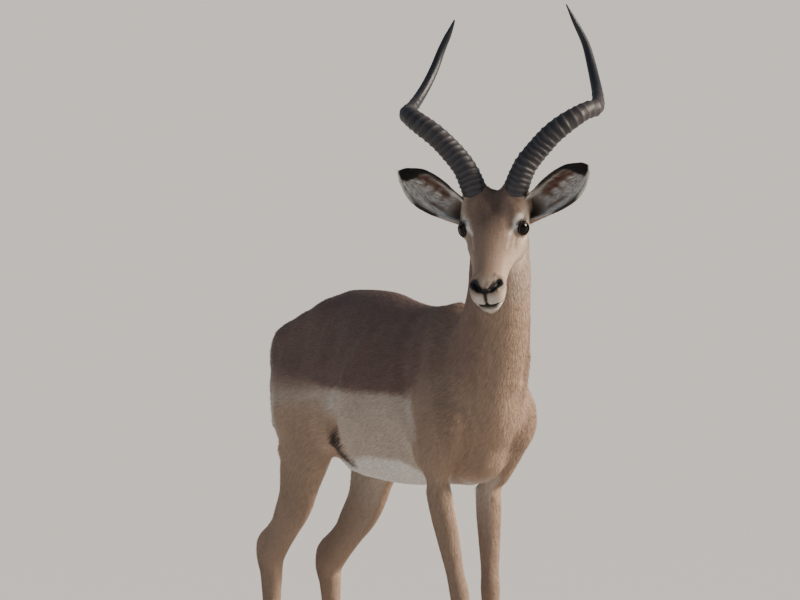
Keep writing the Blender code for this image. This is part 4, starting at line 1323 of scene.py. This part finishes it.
def horn_mesh(side):
    """A fine loft whose radius swells at each ring, with the ring and the way up kept for its colour."""
    places = [(*by_horns(out * side, up, ahead), radius) for out, up, ahead, radius in HORN]
    rows = rows_along(places, HORN_STEP)
    rows = rows[: round(len(rows) * HORN_SPAN[side])]
    way = np.arange(len(rows)) * HORN_STEP
    reach = way[-1]
    taper = np.clip((reach - way) / 0.05, 0.0, 1.0) ** 0.6
    rows[:, 3] = np.minimum(rows[:, 3], 0.0012 + rows[:, 3] * taper)
    sides = 40
    dice = np.random.default_rng(11 + side)
    gaps = np.minimum(0.0090 + 0.0125 * np.linspace(0, 1, RINGS) * 1.7, 0.0215)
    crests = np.cumsum(gaps * dice.uniform(0.86, 1.14, RINGS)) - 0.004
    heights = dice.uniform(0.65, 1.15, RINGS)
    turns = np.arange(sides) * 2 * math.pi / sides
    tilt = 0.0028 * np.cos(turns + 0.6) + 0.0012 * np.cos(2 * turns + side)
    fade = np.clip((0.66 * reach - way) / 0.07, 0, 1)
    swell = np.zeros((len(rows), sides))
    for crest, height in zip(crests, heights):
        gap = way[:, None] - crest - tilt[None, :]
        shape = np.where(gap < 0, np.exp(-((gap / 0.0036) ** 2)), np.exp(-((gap / 0.0019) ** 2)))
        swell = np.maximum(swell, height * shape)
    swell *= fade[:, None]
    form = bmesh.new()
    deep = rows[:, 3] * 1.08
    loft(form, np.column_stack([rows, deep, deep]), (1, 0, 0), sides)
    mesh = mesh_from(form, "horn")
    flat = places_of(mesh)
    middle = np.repeat(rows[:, :3], sides, axis=0)
    outward = flat - middle
    outward /= np.linalg.norm(outward, axis=1)[:, None]
    ahead = outward @ np.array(LEVEL_AXES.col[2])
    rough = waver(flat, 0.011, 31 + side) * np.clip(1.2 - np.repeat(way, sides) / 0.16, 0.25, 1)
    strength = 0.0021 * (0.70 + 0.30 * ahead) * (1 + 0.30 * rough)
    uneven = (0.0004 * rough - 0.0006) * np.repeat(fade, sides)
    flat = flat + outward * (swell.ravel() * strength + uneven)[:, None]
    mesh.vertices.foreach_set("co", flat.ravel())
    put(mesh, "ring", "FLOAT", "POINT", swell.ravel())
    put(mesh, "ringed", "FLOAT", "POINT", np.repeat(fade, sides))
    put(mesh, "way", "FLOAT", "POINT", np.repeat(way, sides))
    put(mesh, "round_x", "FLOAT", "POINT", np.tile(np.cos(turns), len(rows)))
    put(mesh, "round_y", "FLOAT", "POINT", np.tile(np.sin(turns), len(rows)))
    mesh.shade_smooth()
    return mesh


def horn_material():
    """Slate-brown horn with fine growth lines across and streaks along it, worn paler on the rings."""
    made, nodes, shader = glossy("horn", 0.42)
    shader.inputs["Specular IOR Level"].default_value = 0.36
    way = nodes.value("way")
    place = {"X": nodes.value("round_x"), "Y": nodes.value("round_y"), "Z": nodes.maths("MULTIPLY", way, 3.0)}
    place = nodes.add("ShaderNodeCombineXYZ", place).outputs[0]
    streak = nodes.noise(place, 14.0, 4.0)
    spot = nodes.add("ShaderNodeTexCoord").outputs["Object"]
    stain = nodes.noise(spot, 38.0, 4.0)
    lines = nodes.add("ShaderNodeCombineXYZ", {"X": nodes.maths("MULTIPLY", way, 620.0)}).outputs[0]
    lines = nodes.noise(lines, 1.0, 2.0)
    ground = nodes.mix(stain, (0.009, 0.010, 0.015), (0.042, 0.037, 0.038))
    ground = nodes.mix(nodes.maths("MULTIPLY", streak, 0.55), ground, (0.035, 0.023, 0.018))
    worn = nodes.maths("MULTIPLY", nodes.value("ring"), 0.55)
    ground = nodes.mix(worn, ground, (0.066, 0.064, 0.070))
    tip = nodes.maths("SUBTRACT", 1.0, nodes.value("ringed"))
    ground = nodes.mix(nodes.maths("MULTIPLY", tip, 0.72), ground, (0.010, 0.012, 0.017))
    nodes.join(ground, shader.inputs["Base Color"])
    rough = nodes.maths("MULTIPLY_ADD", tip, -0.12, 0.50)
    nodes.join(rough, shader.inputs["Roughness"])
    height = nodes.maths("ADD", streak, nodes.maths("MULTIPLY", lines, 0.7))
    nodes.press(shader, height, 0.55, 0.0008)
    return made


horn_look = horn_material()
for side, hand in SIDES:
    piece(f"horn_sheath_{hand}", horn_mesh(side), horn_look, f"horn_{hand}")

# ---------------------------------------------------------------------------------------------
# Ears. Thin curled leaves of gristle set low behind the horns, their hollows facing ahead. Tan
# outside, whitish inside with a rusty bare streak that branches, and black at tip and rims.
# ---------------------------------------------------------------------------------------------

EAR_FOOT = (0.056, -0.047, -0.012)  # out, up and ahead of the middle between the horns' feet
EAR_TIP = (0.192, 0.036, 0.020)
EAR_SECTIONS = (  # rows of the way to the tip, shift of the middle, radius and half angle of its curl
    (0.00, 0.000, 0.020, 125),
    (0.15, 0.000, 0.024, 112),
    (0.30, 0.000, 0.029, 88),
    (0.48, 0.001, 0.039, 65),
    (0.64, 0.002, 0.045, 53),
    (0.78, 0.004, 0.045, 43),
    (0.89, 0.006, 0.036, 34),
    (0.96, 0.008, 0.026, 26),
    (1.00, 0.009, 0.014, 16),
)
EAR_THICKNESS = 0.0034


def ear_mesh(side):
    """The leaf's two faces and its rim; every point keeps its way along, across and which face it is on."""
    foot = by_horns(EAR_FOOT[0] * side, *EAR_FOOT[1:])
    tip = by_horns(EAR_TIP[0] * side, *EAR_TIP[1:])
    onward = (tip - foot).normalized()
    ahead = LEVEL_AXES.col[2]
    ahead = (ahead - onward * onward.dot(ahead)).normalized()
    upward = ahead.cross(onward) if side == LEFT else onward.cross(ahead)
    stations = [(way, 0, 0, shift, radius, angle) for way, shift, radius, angle in EAR_SECTIONS]
    curl = rows_along(stations, 1 / 64)
    form = bmesh.new()
    marks = []
    crosses = np.linspace(-1, 1, 37)

    def row(way, shift, radius, angle, inward):
        line = []
        for across in crosses:
            turn = math.radians(angle) * across
            square = upward * math.sin(turn) - ahead * math.cos(turn)
            out = upward * (shift + radius * math.sin(turn)) + ahead * (radius * (0.55 - math.cos(turn)))
            ribs = math.sin(math.pi * min(1.0, way * 1.15)) * math.exp(-((abs(across) / 0.75) ** 4))
            fold = 0.0011 * ribs * math.cos(9.5 * across + 1.5 * way)
            fold += 0.0010 * math.exp(-(((way - 0.25) / 0.18) ** 2)) * math.cos(14 * across)
            half = EAR_THICKNESS / 2 * (1 - 0.55 * abs(across) ** 6) * (1 - 0.45 * way**8)
            place = foot + (tip - foot) * way + out + square * (-half if inward else half)
            place += square * (fold if inward else 0.3 * fold)
            line.append(form.verts.new(place))
            marks.append((way, across, 1.0 if inward else 0.0))
        return line

    fronts = [row(way, shift, radius, angle, True) for way, _, _, shift, radius, angle in curl]
    backs = [row(way, shift, radius, angle, False) for way, _, _, shift, radius, angle in curl]
    for sheet in (fronts, backs):
        for low, top in zip(sheet, sheet[1:]):
            for i in range(len(low) - 1):
                form.faces.new((low[i], low[i + 1], top[i + 1], top[i]))
    for k in range(len(fronts) - 1):
        for i in (0, len(crosses) - 1):
            form.faces.new((fronts[k][i], fronts[k + 1][i], backs[k + 1][i], backs[k][i]))
    for i in range(len(crosses) - 1):
        for k in (0, len(fronts) - 1):
            form.faces.new((fronts[k][i], fronts[k][i + 1], backs[k][i + 1], backs[k][i]))
    mesh = mesh_from(form, "ear")
    mesh.shade_smooth()
    return mesh, np.array(marks), np.array(tip - foot), np.array(upward)


def label_ear(mesh, marks, onward, upward):
    """Stores the ear's markings, with painted shade at the foot of the hollow, its hair's length, width and
    lie, and its flat map.
    """
    way, across, inside = marks.T
    places, normals = places_of(mesh), normals_of(mesh)
    ragged = waver(places, 0.012, 21) * 0.6 + waver(places, 0.005, 22) * 0.4
    rim = ramp(np.abs(across), 0.86, 0.97)
    tip = ramp(way + 0.14 * across + 0.016 * ragged, 0.79, 0.84) * ramp(across + 0.9 * way, 0.05, 0.35)
    upper_rim = ramp(across + 0.05 * ragged, 0.78, 0.87) * ramp(way, 0.22, 0.40)
    lower_rim = ramp(-across + 0.04 * ragged, 0.80, 0.90)
    lower_rim *= ramp(way, 0.28, 0.36) * (1 - ramp(way, 0.60, 0.70))
    line = inside * (1 - ramp(np.abs(across + 0.70 - 0.10 * np.sin(6 * way)), 0.016, 0.045))
    line *= ramp(way, 0.50, 0.58) * (1 - ramp(way, 0.84, 0.9))
    black = np.clip(tip + 0.9 * upper_rim + 0.85 * lower_rim + 0.6 * line, 0, 1)
    ridge = 0.36 + 0.20 * np.sin(3.1 * (way - 0.25))
    streak = (1 - ramp(np.abs(across - ridge), 0.12, 0.32)) * ramp(way, 0.24, 0.36)
    streak *= 1 - ramp(way, 0.78, 0.88)
    comb = np.zeros(len(way))
    for at, lean, reach in ((0.36, 0.10, 0.75), (0.48, 0.16, 0.85), (0.60, 0.20, 0.75), (0.71, 0.22, 0.55)):
        branch = 1 - ramp(np.abs(way - at - lean * (ridge - across) * 0.5), 0.010, 0.040)
        comb = np.maximum(comb, branch * ramp(across, ridge - reach, ridge - reach * 0.35) * (across < ridge))
    low_streak = (1 - ramp(np.abs(across + 0.30 + 0.25 * way), 0.03, 0.16)) * ramp(way, 0.22, 0.32)
    low_streak *= 1 - ramp(way, 0.46, 0.60)
    rust = inside * np.clip(1.1 * streak + 0.9 * comb + 0.8 * low_streak, 0, 1) * (0.85 + 0.30 * ragged)
    # painted shade: the hollow darkens at the ear's foot, laid in as rust and black
    base_shade = inside * (1 - ramp(way, 0.10, 0.30)) * ramp(0.75 - np.abs(across), 0, 0.5)
    rust = np.clip(rust + base_shade, 0, 1)
    black = np.clip(black + 0.75 * base_shade, 0, 1)
    white = 0.97 * inside * (1 - 0.8 * rust) * (1 - black)
    under = inside * (1 - black) * (1 - 0.8 * rust) * (1 - ramp(np.abs(across), 0.88, 0.97))
    for name, values in (
        ("saddle", (1 - inside) * 0.25),
        ("pale", (1 - inside) * 0.25),
        ("white", white),
        ("rust", rust * (1 - black)),
        ("black", black),
        ("under", under),
    ):
        put(mesh, name, "FLOAT", "POINT", values)
    # inside, the hair grows from both edges towards the middle and the tip
    lie = onward / np.linalg.norm(onward) - upward * (0.9 * across * inside * (1 - 0.4 * way))[:, None]
    lie = lie - np.einsum("ij,ij->i", lie, normals)[:, None] * normals
    put(mesh, "lie", "FLOAT_VECTOR", "POINT", lie / np.linalg.norm(lie, axis=1)[:, None])
    edge = ramp(np.abs(across), 0.30, 0.80)
    long = np.where(inside > 0.5, 0.008 + 0.011 * edge * (1 - 0.5 * way), 0.0065)
    long = long * (1 - 0.5 * rim) * (1 - 0.45 * tip)
    wide = np.where(inside > 0.5, 0.0009, 0.0011)
    thin = np.where(inside > 0.5, (0.50 + 0.9 * edge) * (1 - 0.6 * rust), 1.0)
    put(mesh, "long", "FLOAT", "POINT", long)
    put(mesh, "wide", "FLOAT", "POINT", wide)
    put(mesh, "dense", "FLOAT", "POINT", 2.2 / (long * wide) * thin)
    # flat map of the leaf: inside beside outside
    count = len(mesh.loops)
    corner = np.empty(count, np.int32)
    mesh.loops.foreach_get("vertex_index", corner)
    left = np.where(inside[corner] > 0.5, 0.02, 0.51)
    opened = np.column_stack([left + 0.46 * (0.5 + 0.5 * across[corner]), 0.02 + 0.96 * way[corner]])
    metres = np.column_stack([across[corner] * 0.045, way[corner] * 0.16])
    for name, values in (("OFBake", opened), ("along_hair", metres)):
        layer = mesh.uv_layers.new(name=name, do_init=False)
        layer.uv.foreach_set("vector", values.astype(np.float32).ravel())
    put(mesh, "root", "FLOAT_VECTOR", "CORNER", np.column_stack([opened, np.zeros(count)]))
    put(mesh, "part", "INT", "FACE", np.zeros(len(mesh.polygons), np.int32))


ears = []
for side, hand in SIDES:
    mesh, marks, onward, upward = ear_mesh(side)
    label_ear(mesh, marks, onward, upward)
    ears.append(piece(f"ear_leaf_{hand}", mesh, hide.data.materials[0], f"ear_{hand}"))

# ---------------------------------------------------------------------------------------------
# Hooves. Two narrow pointed claws under each foot, of black polished horn with fine growth lines,
# their soles flat on the floor.
# ---------------------------------------------------------------------------------------------

CLAW_SPREAD = 0.0245  # from the middle of one claw to the middle of the other
CLAW_STEP = 0.0016  # between the rows of its loft
CLAW = (  # rows of fore shift, height, half width, fore, back
    (0.000, 0.0440, 0.0085, 0.012, 0.012),
    (0.003, 0.0360, 0.0104, 0.017, 0.017),
    (0.008, 0.0200, 0.0112, 0.024, 0.020),
    (0.012, 0.0040, 0.0114, 0.030, 0.020),
    (0.012, 0.0000, 0.0108, 0.029, 0.019),
)

hoof_look, nodes, shader = glossy("hoof", 0.32, 0.35)
spot = nodes.add("ShaderNodeTexCoord").outputs["Object"]
layers = nodes.add("ShaderNodeMapping", {"Vector": spot, "Scale": (30, 30, 700)}).outputs[0]
layers = nodes.noise(layers, 1.0, 3.0)
scuffs = nodes.noise(spot, 160.0, 4.0)
shade = nodes.mix(layers, (0.010, 0.009, 0.009), (0.040, 0.034, 0.030))
shade = nodes.mix(nodes.maths("MULTIPLY", scuffs, 0.4), shade, (0.060, 0.052, 0.045))
nodes.join(shade, shader.inputs["Base Color"])
nodes.join(nodes.maths("MULTIPLY_ADD", scuffs, 0.35, 0.18), shader.inputs["Roughness"])
nodes.press(shader, layers, 0.5, 0.0006)

for joints, leg in ((FORE_JOINTS, "fore"), (HIND_JOINTS, "hind")):
    for side, hand in SIDES:
        out, back, _ = joints[side][-1]
        for half, name in ((1, "outer"), (-1, "inner")):
            place = (out + half * CLAW_SPREAD / 2) * side
            stations = [(place, back - fore, high, *extents) for fore, high, *extents in CLAW]
            form = bmesh.new()
            loft(form, rows_along(stations, CLAW_STEP), (1, 0, 0), 40, pinch_up=0.62, along=(0, 0, -1))
            mesh = mesh_from(form, "claw")
            mesh.shade_smooth()
            mesh.set_sharp_from_angle(angle=math.radians(50))
            piece(f"claw_{leg}_{hand}_{name}", mesh, hoof_look, f"hoof_{leg}_{hand}_{name}")

# ---------------------------------------------------------------------------------------------
# Coat. Short tapered tufts over the whole hide and the ears, leaning along the lie of the hair.
# Each one is a small closed wedge that takes its markings, length and place on the flat map from
# its root; the tail's white locks, the black brushes on the hind feet and the lashes are longer.
# ---------------------------------------------------------------------------------------------

ROOT_PATCH = 0.003  # width of one tuft's patch on the flat map
TONES = (0.74, 1.22)  # darkest and lightest tuft


def tuft_mesh():
    """One tuft, one long and one wide: a wedge rooted under the skin, rising to a point ahead."""
    mesh = bpy.data.meshes.new("tuft")
    corners = ((-0.5, 0.0, -0.25), (0.5, 0.0, -0.25), (0.0, 0.04, 0.42), (0.0, 1.0, 0.0))
    faces = ((0, 1, 2), (1, 3, 2), (0, 2, 3), (0, 3, 1))
    mesh.from_pydata(corners, [], faces)
    cells = []
    for k in range(len(faces)):
        left, bottom = 0.02 + 0.5 * (k % 2), 0.02 + 0.5 * (k // 2)
        cells += [(left, bottom, 0), (left + 0.44, bottom, 0), (left + 0.22, bottom + 0.44, 0)]
    put(mesh, "cell", "FLOAT_VECTOR", "CORNER", np.array(cells))
    return mesh


def coat_group(tuft):
    """Scatters tufts over one part of a surface; the lift, the seed and the part are its inputs."""
    tree = bpy.data.node_groups.new("coat", "GeometryNodeTree")
    tree.interface.new_socket("Surface", in_out="INPUT", socket_type="NodeSocketGeometry")
    kinds = {"Part": "Int", "Seed": "Int", "Lift": "Float", "Thickness": "Float", "Hair": "Material"}
    for name, kind in kinds.items():
        tree.interface.new_socket(name, in_out="INPUT", socket_type=f"NodeSocket{kind}")
    tree.interface.new_socket("Coat", in_out="OUTPUT", socket_type="NodeSocketGeometry")
    nodes = Nodes(tree)
    given = nodes.add("NodeGroupInput").outputs

    def named(name, kind):
        node = nodes.add("GeometryNodeInputNamedAttribute", data_type=kind)
        node.inputs["Name"].default_value = name
        return node.outputs["Attribute"]

    def chance(low, high, seed):
        node = nodes.add("FunctionNodeRandomValue", data_type="FLOAT")
        node.inputs[2].default_value, node.inputs[3].default_value = low, high
        nodes.join(nodes.maths("ADD", given["Seed"], float(seed)), node.inputs["Seed"])
        return node.outputs[1]

    here = nodes.add("FunctionNodeCompare", data_type="INT", operation="EQUAL")
    nodes.join(named("part", "INT"), here.inputs[2])
    nodes.join(given["Part"], here.inputs[3])
    roots = nodes.add("GeometryNodeDistributePointsOnFaces", {
        "Mesh": given["Surface"],
        "Selection": here.outputs[0],
        "Density": named("dense", "FLOAT"),
        "Seed": given["Seed"],
    })
    upright = nodes.add("FunctionNodeAlignRotationToVector", {"Vector": roots.outputs["Normal"]}, axis="Z")
    laid = nodes.add(
        "FunctionNodeAlignRotationToVector",
        {"Rotation": upright.outputs[0], "Vector": named("lie", "FLOAT_VECTOR")},
        axis="Y",
        pivot_axis="Z",
    )
    lift = nodes.maths("MULTIPLY", given["Lift"], chance(0.3, 1.7, 1))
    sway = nodes.add("ShaderNodeCombineXYZ", {"X": lift, "Z": chance(-0.20, 0.20, 2)}).outputs[0]
    turned = nodes.add("FunctionNodeRotateRotation", {"Rotation": laid.outputs[0]}, rotation_space="LOCAL")
    nodes.join(nodes.add("FunctionNodeEulerToRotation", {"Euler": sway}).outputs[0], turned.inputs[1])
    wide = nodes.maths("MULTIPLY", named("wide", "FLOAT"), chance(0.7, 1.3, 3))
    long = nodes.maths("MULTIPLY", named("long", "FLOAT"), chance(0.72, 1.12, 4))
    thick = nodes.maths("MULTIPLY", wide, given["Thickness"])
    scale = nodes.add("ShaderNodeCombineXYZ", {"X": wide, "Y": long, "Z": thick}).outputs[0]
    shape = nodes.add("GeometryNodeObjectInfo", {"Object": tuft, "As Instance": True}).outputs["Geometry"]
    tufts = nodes.add(
        "GeometryNodeInstanceOnPoints",
        {"Points": roots.outputs["Points"], "Instance": shape, "Rotation": turned.outputs[0], "Scale": scale},
    )
    toned = nodes.add("GeometryNodeStoreNamedAttribute", data_type="FLOAT", domain="INSTANCE")
    nodes.join(tufts.outputs[0], toned.inputs["Geometry"])
    toned.inputs["Name"].default_value = "tone"
    nodes.join(chance(*TONES, 5), toned.inputs["Value"])
    solid = nodes.add("GeometryNodeRealizeInstances", {"Geometry": toned.outputs[0]})
    inset = nodes.add("ShaderNodeVectorMath", operation="SUBTRACT")
    nodes.join(named("cell", "FLOAT_VECTOR"), inset.inputs[0])
    inset.inputs[1].default_value = (0.5, 0.5, 0)
    patch = nodes.add("ShaderNodeVectorMath", operation="MULTIPLY_ADD")
    nodes.join(inset.outputs[0], patch.inputs[0])
    patch.inputs[1].default_value = (ROOT_PATCH, ROOT_PATCH, 0)
    nodes.join(named("root", "FLOAT_VECTOR"), patch.inputs[2])
    mapped = nodes.add("GeometryNodeStoreNamedAttribute", data_type="FLOAT2", domain="CORNER")
    nodes.join(solid.outputs[0], mapped.inputs["Geometry"])
    mapped.inputs["Name"].default_value = "OFBake"
    nodes.join(patch.outputs[0], mapped.inputs["Value"])
    last = nodes.add("GeometryNodeSetMaterial", {"Geometry": mapped.outputs[0], "Material": given["Hair"]})
    nodes.join(last.outputs[0], nodes.add("NodeGroupOutput").inputs[0])
    return tree


def hair_material():
    """Hair: the same markings, each tuft a little lighter or darker, with a soft sheen at its edges."""
    made, nodes, shader = glossy("hair", 0.62)
    shader.inputs["Sheen Weight"].default_value = 0.10
    shader.inputs["Sheen Roughness"].default_value = 0.45
    shader.inputs["Specular IOR Level"].default_value = 0.32
    nodes.join(coat_colour(nodes, nodes.value("tone")), shader.inputs["Base Color"])
    return made


def grow(name, surface, part, seed, lift, thickness):
    """One piece of coat over one part of a surface, as plain mesh that keeps only its looks."""
    grown = new_object(name, surface.copy(), scene_parts)
    made = grown.modifiers.new("coat", "NODES")
    made.node_group = coat_tree
    wanted = {"Part": part, "Seed": seed, "Lift": lift, "Thickness": thickness, "Hair": hair_look}
    for item in coat_tree.interface.items_tree:
        if item.in_out == "INPUT" and item.name in wanted:
            made[item.identifier] = wanted[item.name]
    settle(grown)
    kept = {"saddle", "pale", "white", "black", "rust", "tone", "OFBake"}
    for layer in [layer.name for layer in grown.data.attributes if not layer.name.startswith(".")]:
        if layer not in kept | {"position", "material_index", "sharp_face"}:
            grown.data.attributes.remove(grown.data.attributes[layer])
    grown.data.uv_layers.active = grown.data.uv_layers["OFBake"]
    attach(grown, "root")
    return grown


tuft_object = bpy.data.objects.new("tuft", tuft_mesh())
coat_tree = coat_group(tuft_object)
hair_look = hair_material()

# The body's coat in the order of the hide's parts: its name, where it belongs and how far it lifts
for k, (name, slot, lift) in enumerate((
    ("flank_left", "trunk", 0.10),
    ("flank_right", "trunk", 0.10),
    ("rump_left", "trunk", 0.10),
    ("rump_right", "trunk", 0.10),
    ("neck", "neck", 0.05),
    ("head", "head", 0.10),
    ("tail", "tail", 0.05),
    ("fore_left", "forearm_left", 0.10),
    ("hind_left", "gaskin_left", 0.10),
    ("fore_right", "forearm_right", 0.10),
    ("hind_right", "gaskin_right", 0.10),
)):
    grow(f"coat_{name}", hide.data, k, 101 + k, lift, 0.30)
for (side, hand), ear in zip(SIDES, ears):
    grow(f"coat_ear_{hand}", ear.data, 0, 131 + side, 0.22, 0.55)


LASHES = {
    "saddle": 0,
    "pale": 0,
    "white": 0,
    "black": 0.96,
    "long": 0.0125,
    "wide": 0.0007,
    "dense": 3.2e6,
}


def lash_strip(side, middle):
    """A hair-thin band along the upper lid for the lashes to stand on."""
    form = bmesh.new()
    rows = []
    for k in range(31):
        turn = math.pi * (0.52 + 0.44 * k / 30)
        rows.append([form.verts.new(rim_point(side, middle, turn, reach, 0.0016)) for reach in (1.06, 1.12)])
    for low, top in zip(rows, rows[1:]):
        corners = (low[0], low[1], top[1], top[0]) if side == RIGHT else (low[0], top[0], top[1], low[1])
        form.faces.new(corners)
    mesh = bpy.data.meshes.new("lashes")
    form.to_mesh(mesh)
    form.free()
    places = places_of(mesh)
    outward = np.repeat(places[1::2] - places[0::2], 2, axis=0)
    put(mesh, "lie", "FLOAT_VECTOR", "POINT", outward / np.linalg.norm(outward, axis=1)[:, None])
    for name, value in LASHES.items():
        put(mesh, name, "FLOAT", "POINT", np.full(len(places), float(value)))
    opened = flat_maps(mesh)[0]
    put(mesh, "root", "FLOAT_VECTOR", "CORNER", np.column_stack([opened, np.zeros(len(opened))]))
    put(mesh, "part", "INT", "FACE", np.zeros(len(mesh.polygons), np.int32))
    mesh.transform(Matrix.Translation(-BOX_MIDDLE))
    return mesh


for (side, hand), middle in zip(SIDES, eyes_at):
    grow(f"lashes_{hand}", lash_strip(side, middle), 0, 151 + side, 0.75, 0.8)

# ---------------------------------------------------------------------------------------------
# Studio. A wide pale floor, a low soft warm key from the ram's left, a broad cool fill from its
# right, a pale blue surround, and a long lens from its front right, looking slightly down at it.
# ---------------------------------------------------------------------------------------------

AIM = Vector((0, 0, 0.875)) - BOX_MIDDLE
CAMERA_AT = Vector((-6.78087, -12.23302, 1.48567)) - BOX_MIDDLE
TOWARD = Vector((-0.48481, -0.87462, 0))  # level, to the camera
ASIDE = Vector((0.87462, -0.48481, 0))  # level, to the camera's right
FLOOR_RADIUS = 20  # of the floor's own disc
FLOOR_SPREAD = 600  # how many times as wide the ring round it is

form = bmesh.new()
bmesh.ops.create_circle(form, cap_ends=True, segments=96, radius=FLOOR_RADIUS)
outskirts = bmesh.ops.extrude_edge_only(form, edges=form.edges[:])["geom"]
for vert in (part for part in outskirts if isinstance(part, bmesh.types.BMVert)):
    vert.co *= FLOOR_SPREAD
floor = new_object("studio_floor", mesh_from(form, "studio_floor"), bpy.context.scene.collection)
pale = bpy.data.materials.new("studio_floor")
pale.use_nodes = True
pale.node_tree.nodes["Principled BSDF"].inputs["Base Color"].default_value = (0.58, 0.58, 0.58, 1)
pale.node_tree.nodes["Principled BSDF"].inputs["Roughness"].default_value = 0.9
floor.data.materials.append(pale)

sun = bpy.data.lights.new("key", "SUN")
sun.energy = 9.0
sun.angle = math.radians(22)
sun.color = (1.0, 0.87, 0.73)
key = bpy.data.objects.new("key", sun)
key_from = ASIDE * 0.95 + TOWARD * 0.04 + Vector((0, 0, 0.45))
key.rotation_euler = key_from.to_track_quat("Z", "Y").to_euler()
bpy.context.scene.collection.objects.link(key)

panel = bpy.data.lights.new("fill", "AREA")
panel.size = 4.0
panel.energy = 60
panel.color = (0.74, 0.86, 1.0)
fill = bpy.data.objects.new("fill", panel)
fill.location = AIM - ASIDE * 4.0 + TOWARD * 5.0 + Vector((0, 0, 2.2))
fill.rotation_euler = (fill.location - AIM).to_track_quat("Z", "Y").to_euler()
bpy.context.scene.collection.objects.link(fill)

world = bpy.data.worlds.new("studio")
world.use_nodes = True
world.node_tree.nodes["Background"].inputs["Color"].default_value = (0.70, 0.84, 1.0, 1)
world.node_tree.nodes["Background"].inputs["Strength"].default_value = 0.28
bpy.context.scene.world = world

camera = bpy.data.objects.new("camera", bpy.data.cameras.new("camera"))
camera.data.sensor_width = 36
camera.data.lens = 310.65
camera.data.clip_end = 25000
camera.location = CAMERA_AT
camera.rotation_euler = (CAMERA_AT - AIM).to_track_quat("Z", "Y").to_euler()
bpy.context.scene.collection.objects.link(camera)
bpy.context.scene.camera = camera
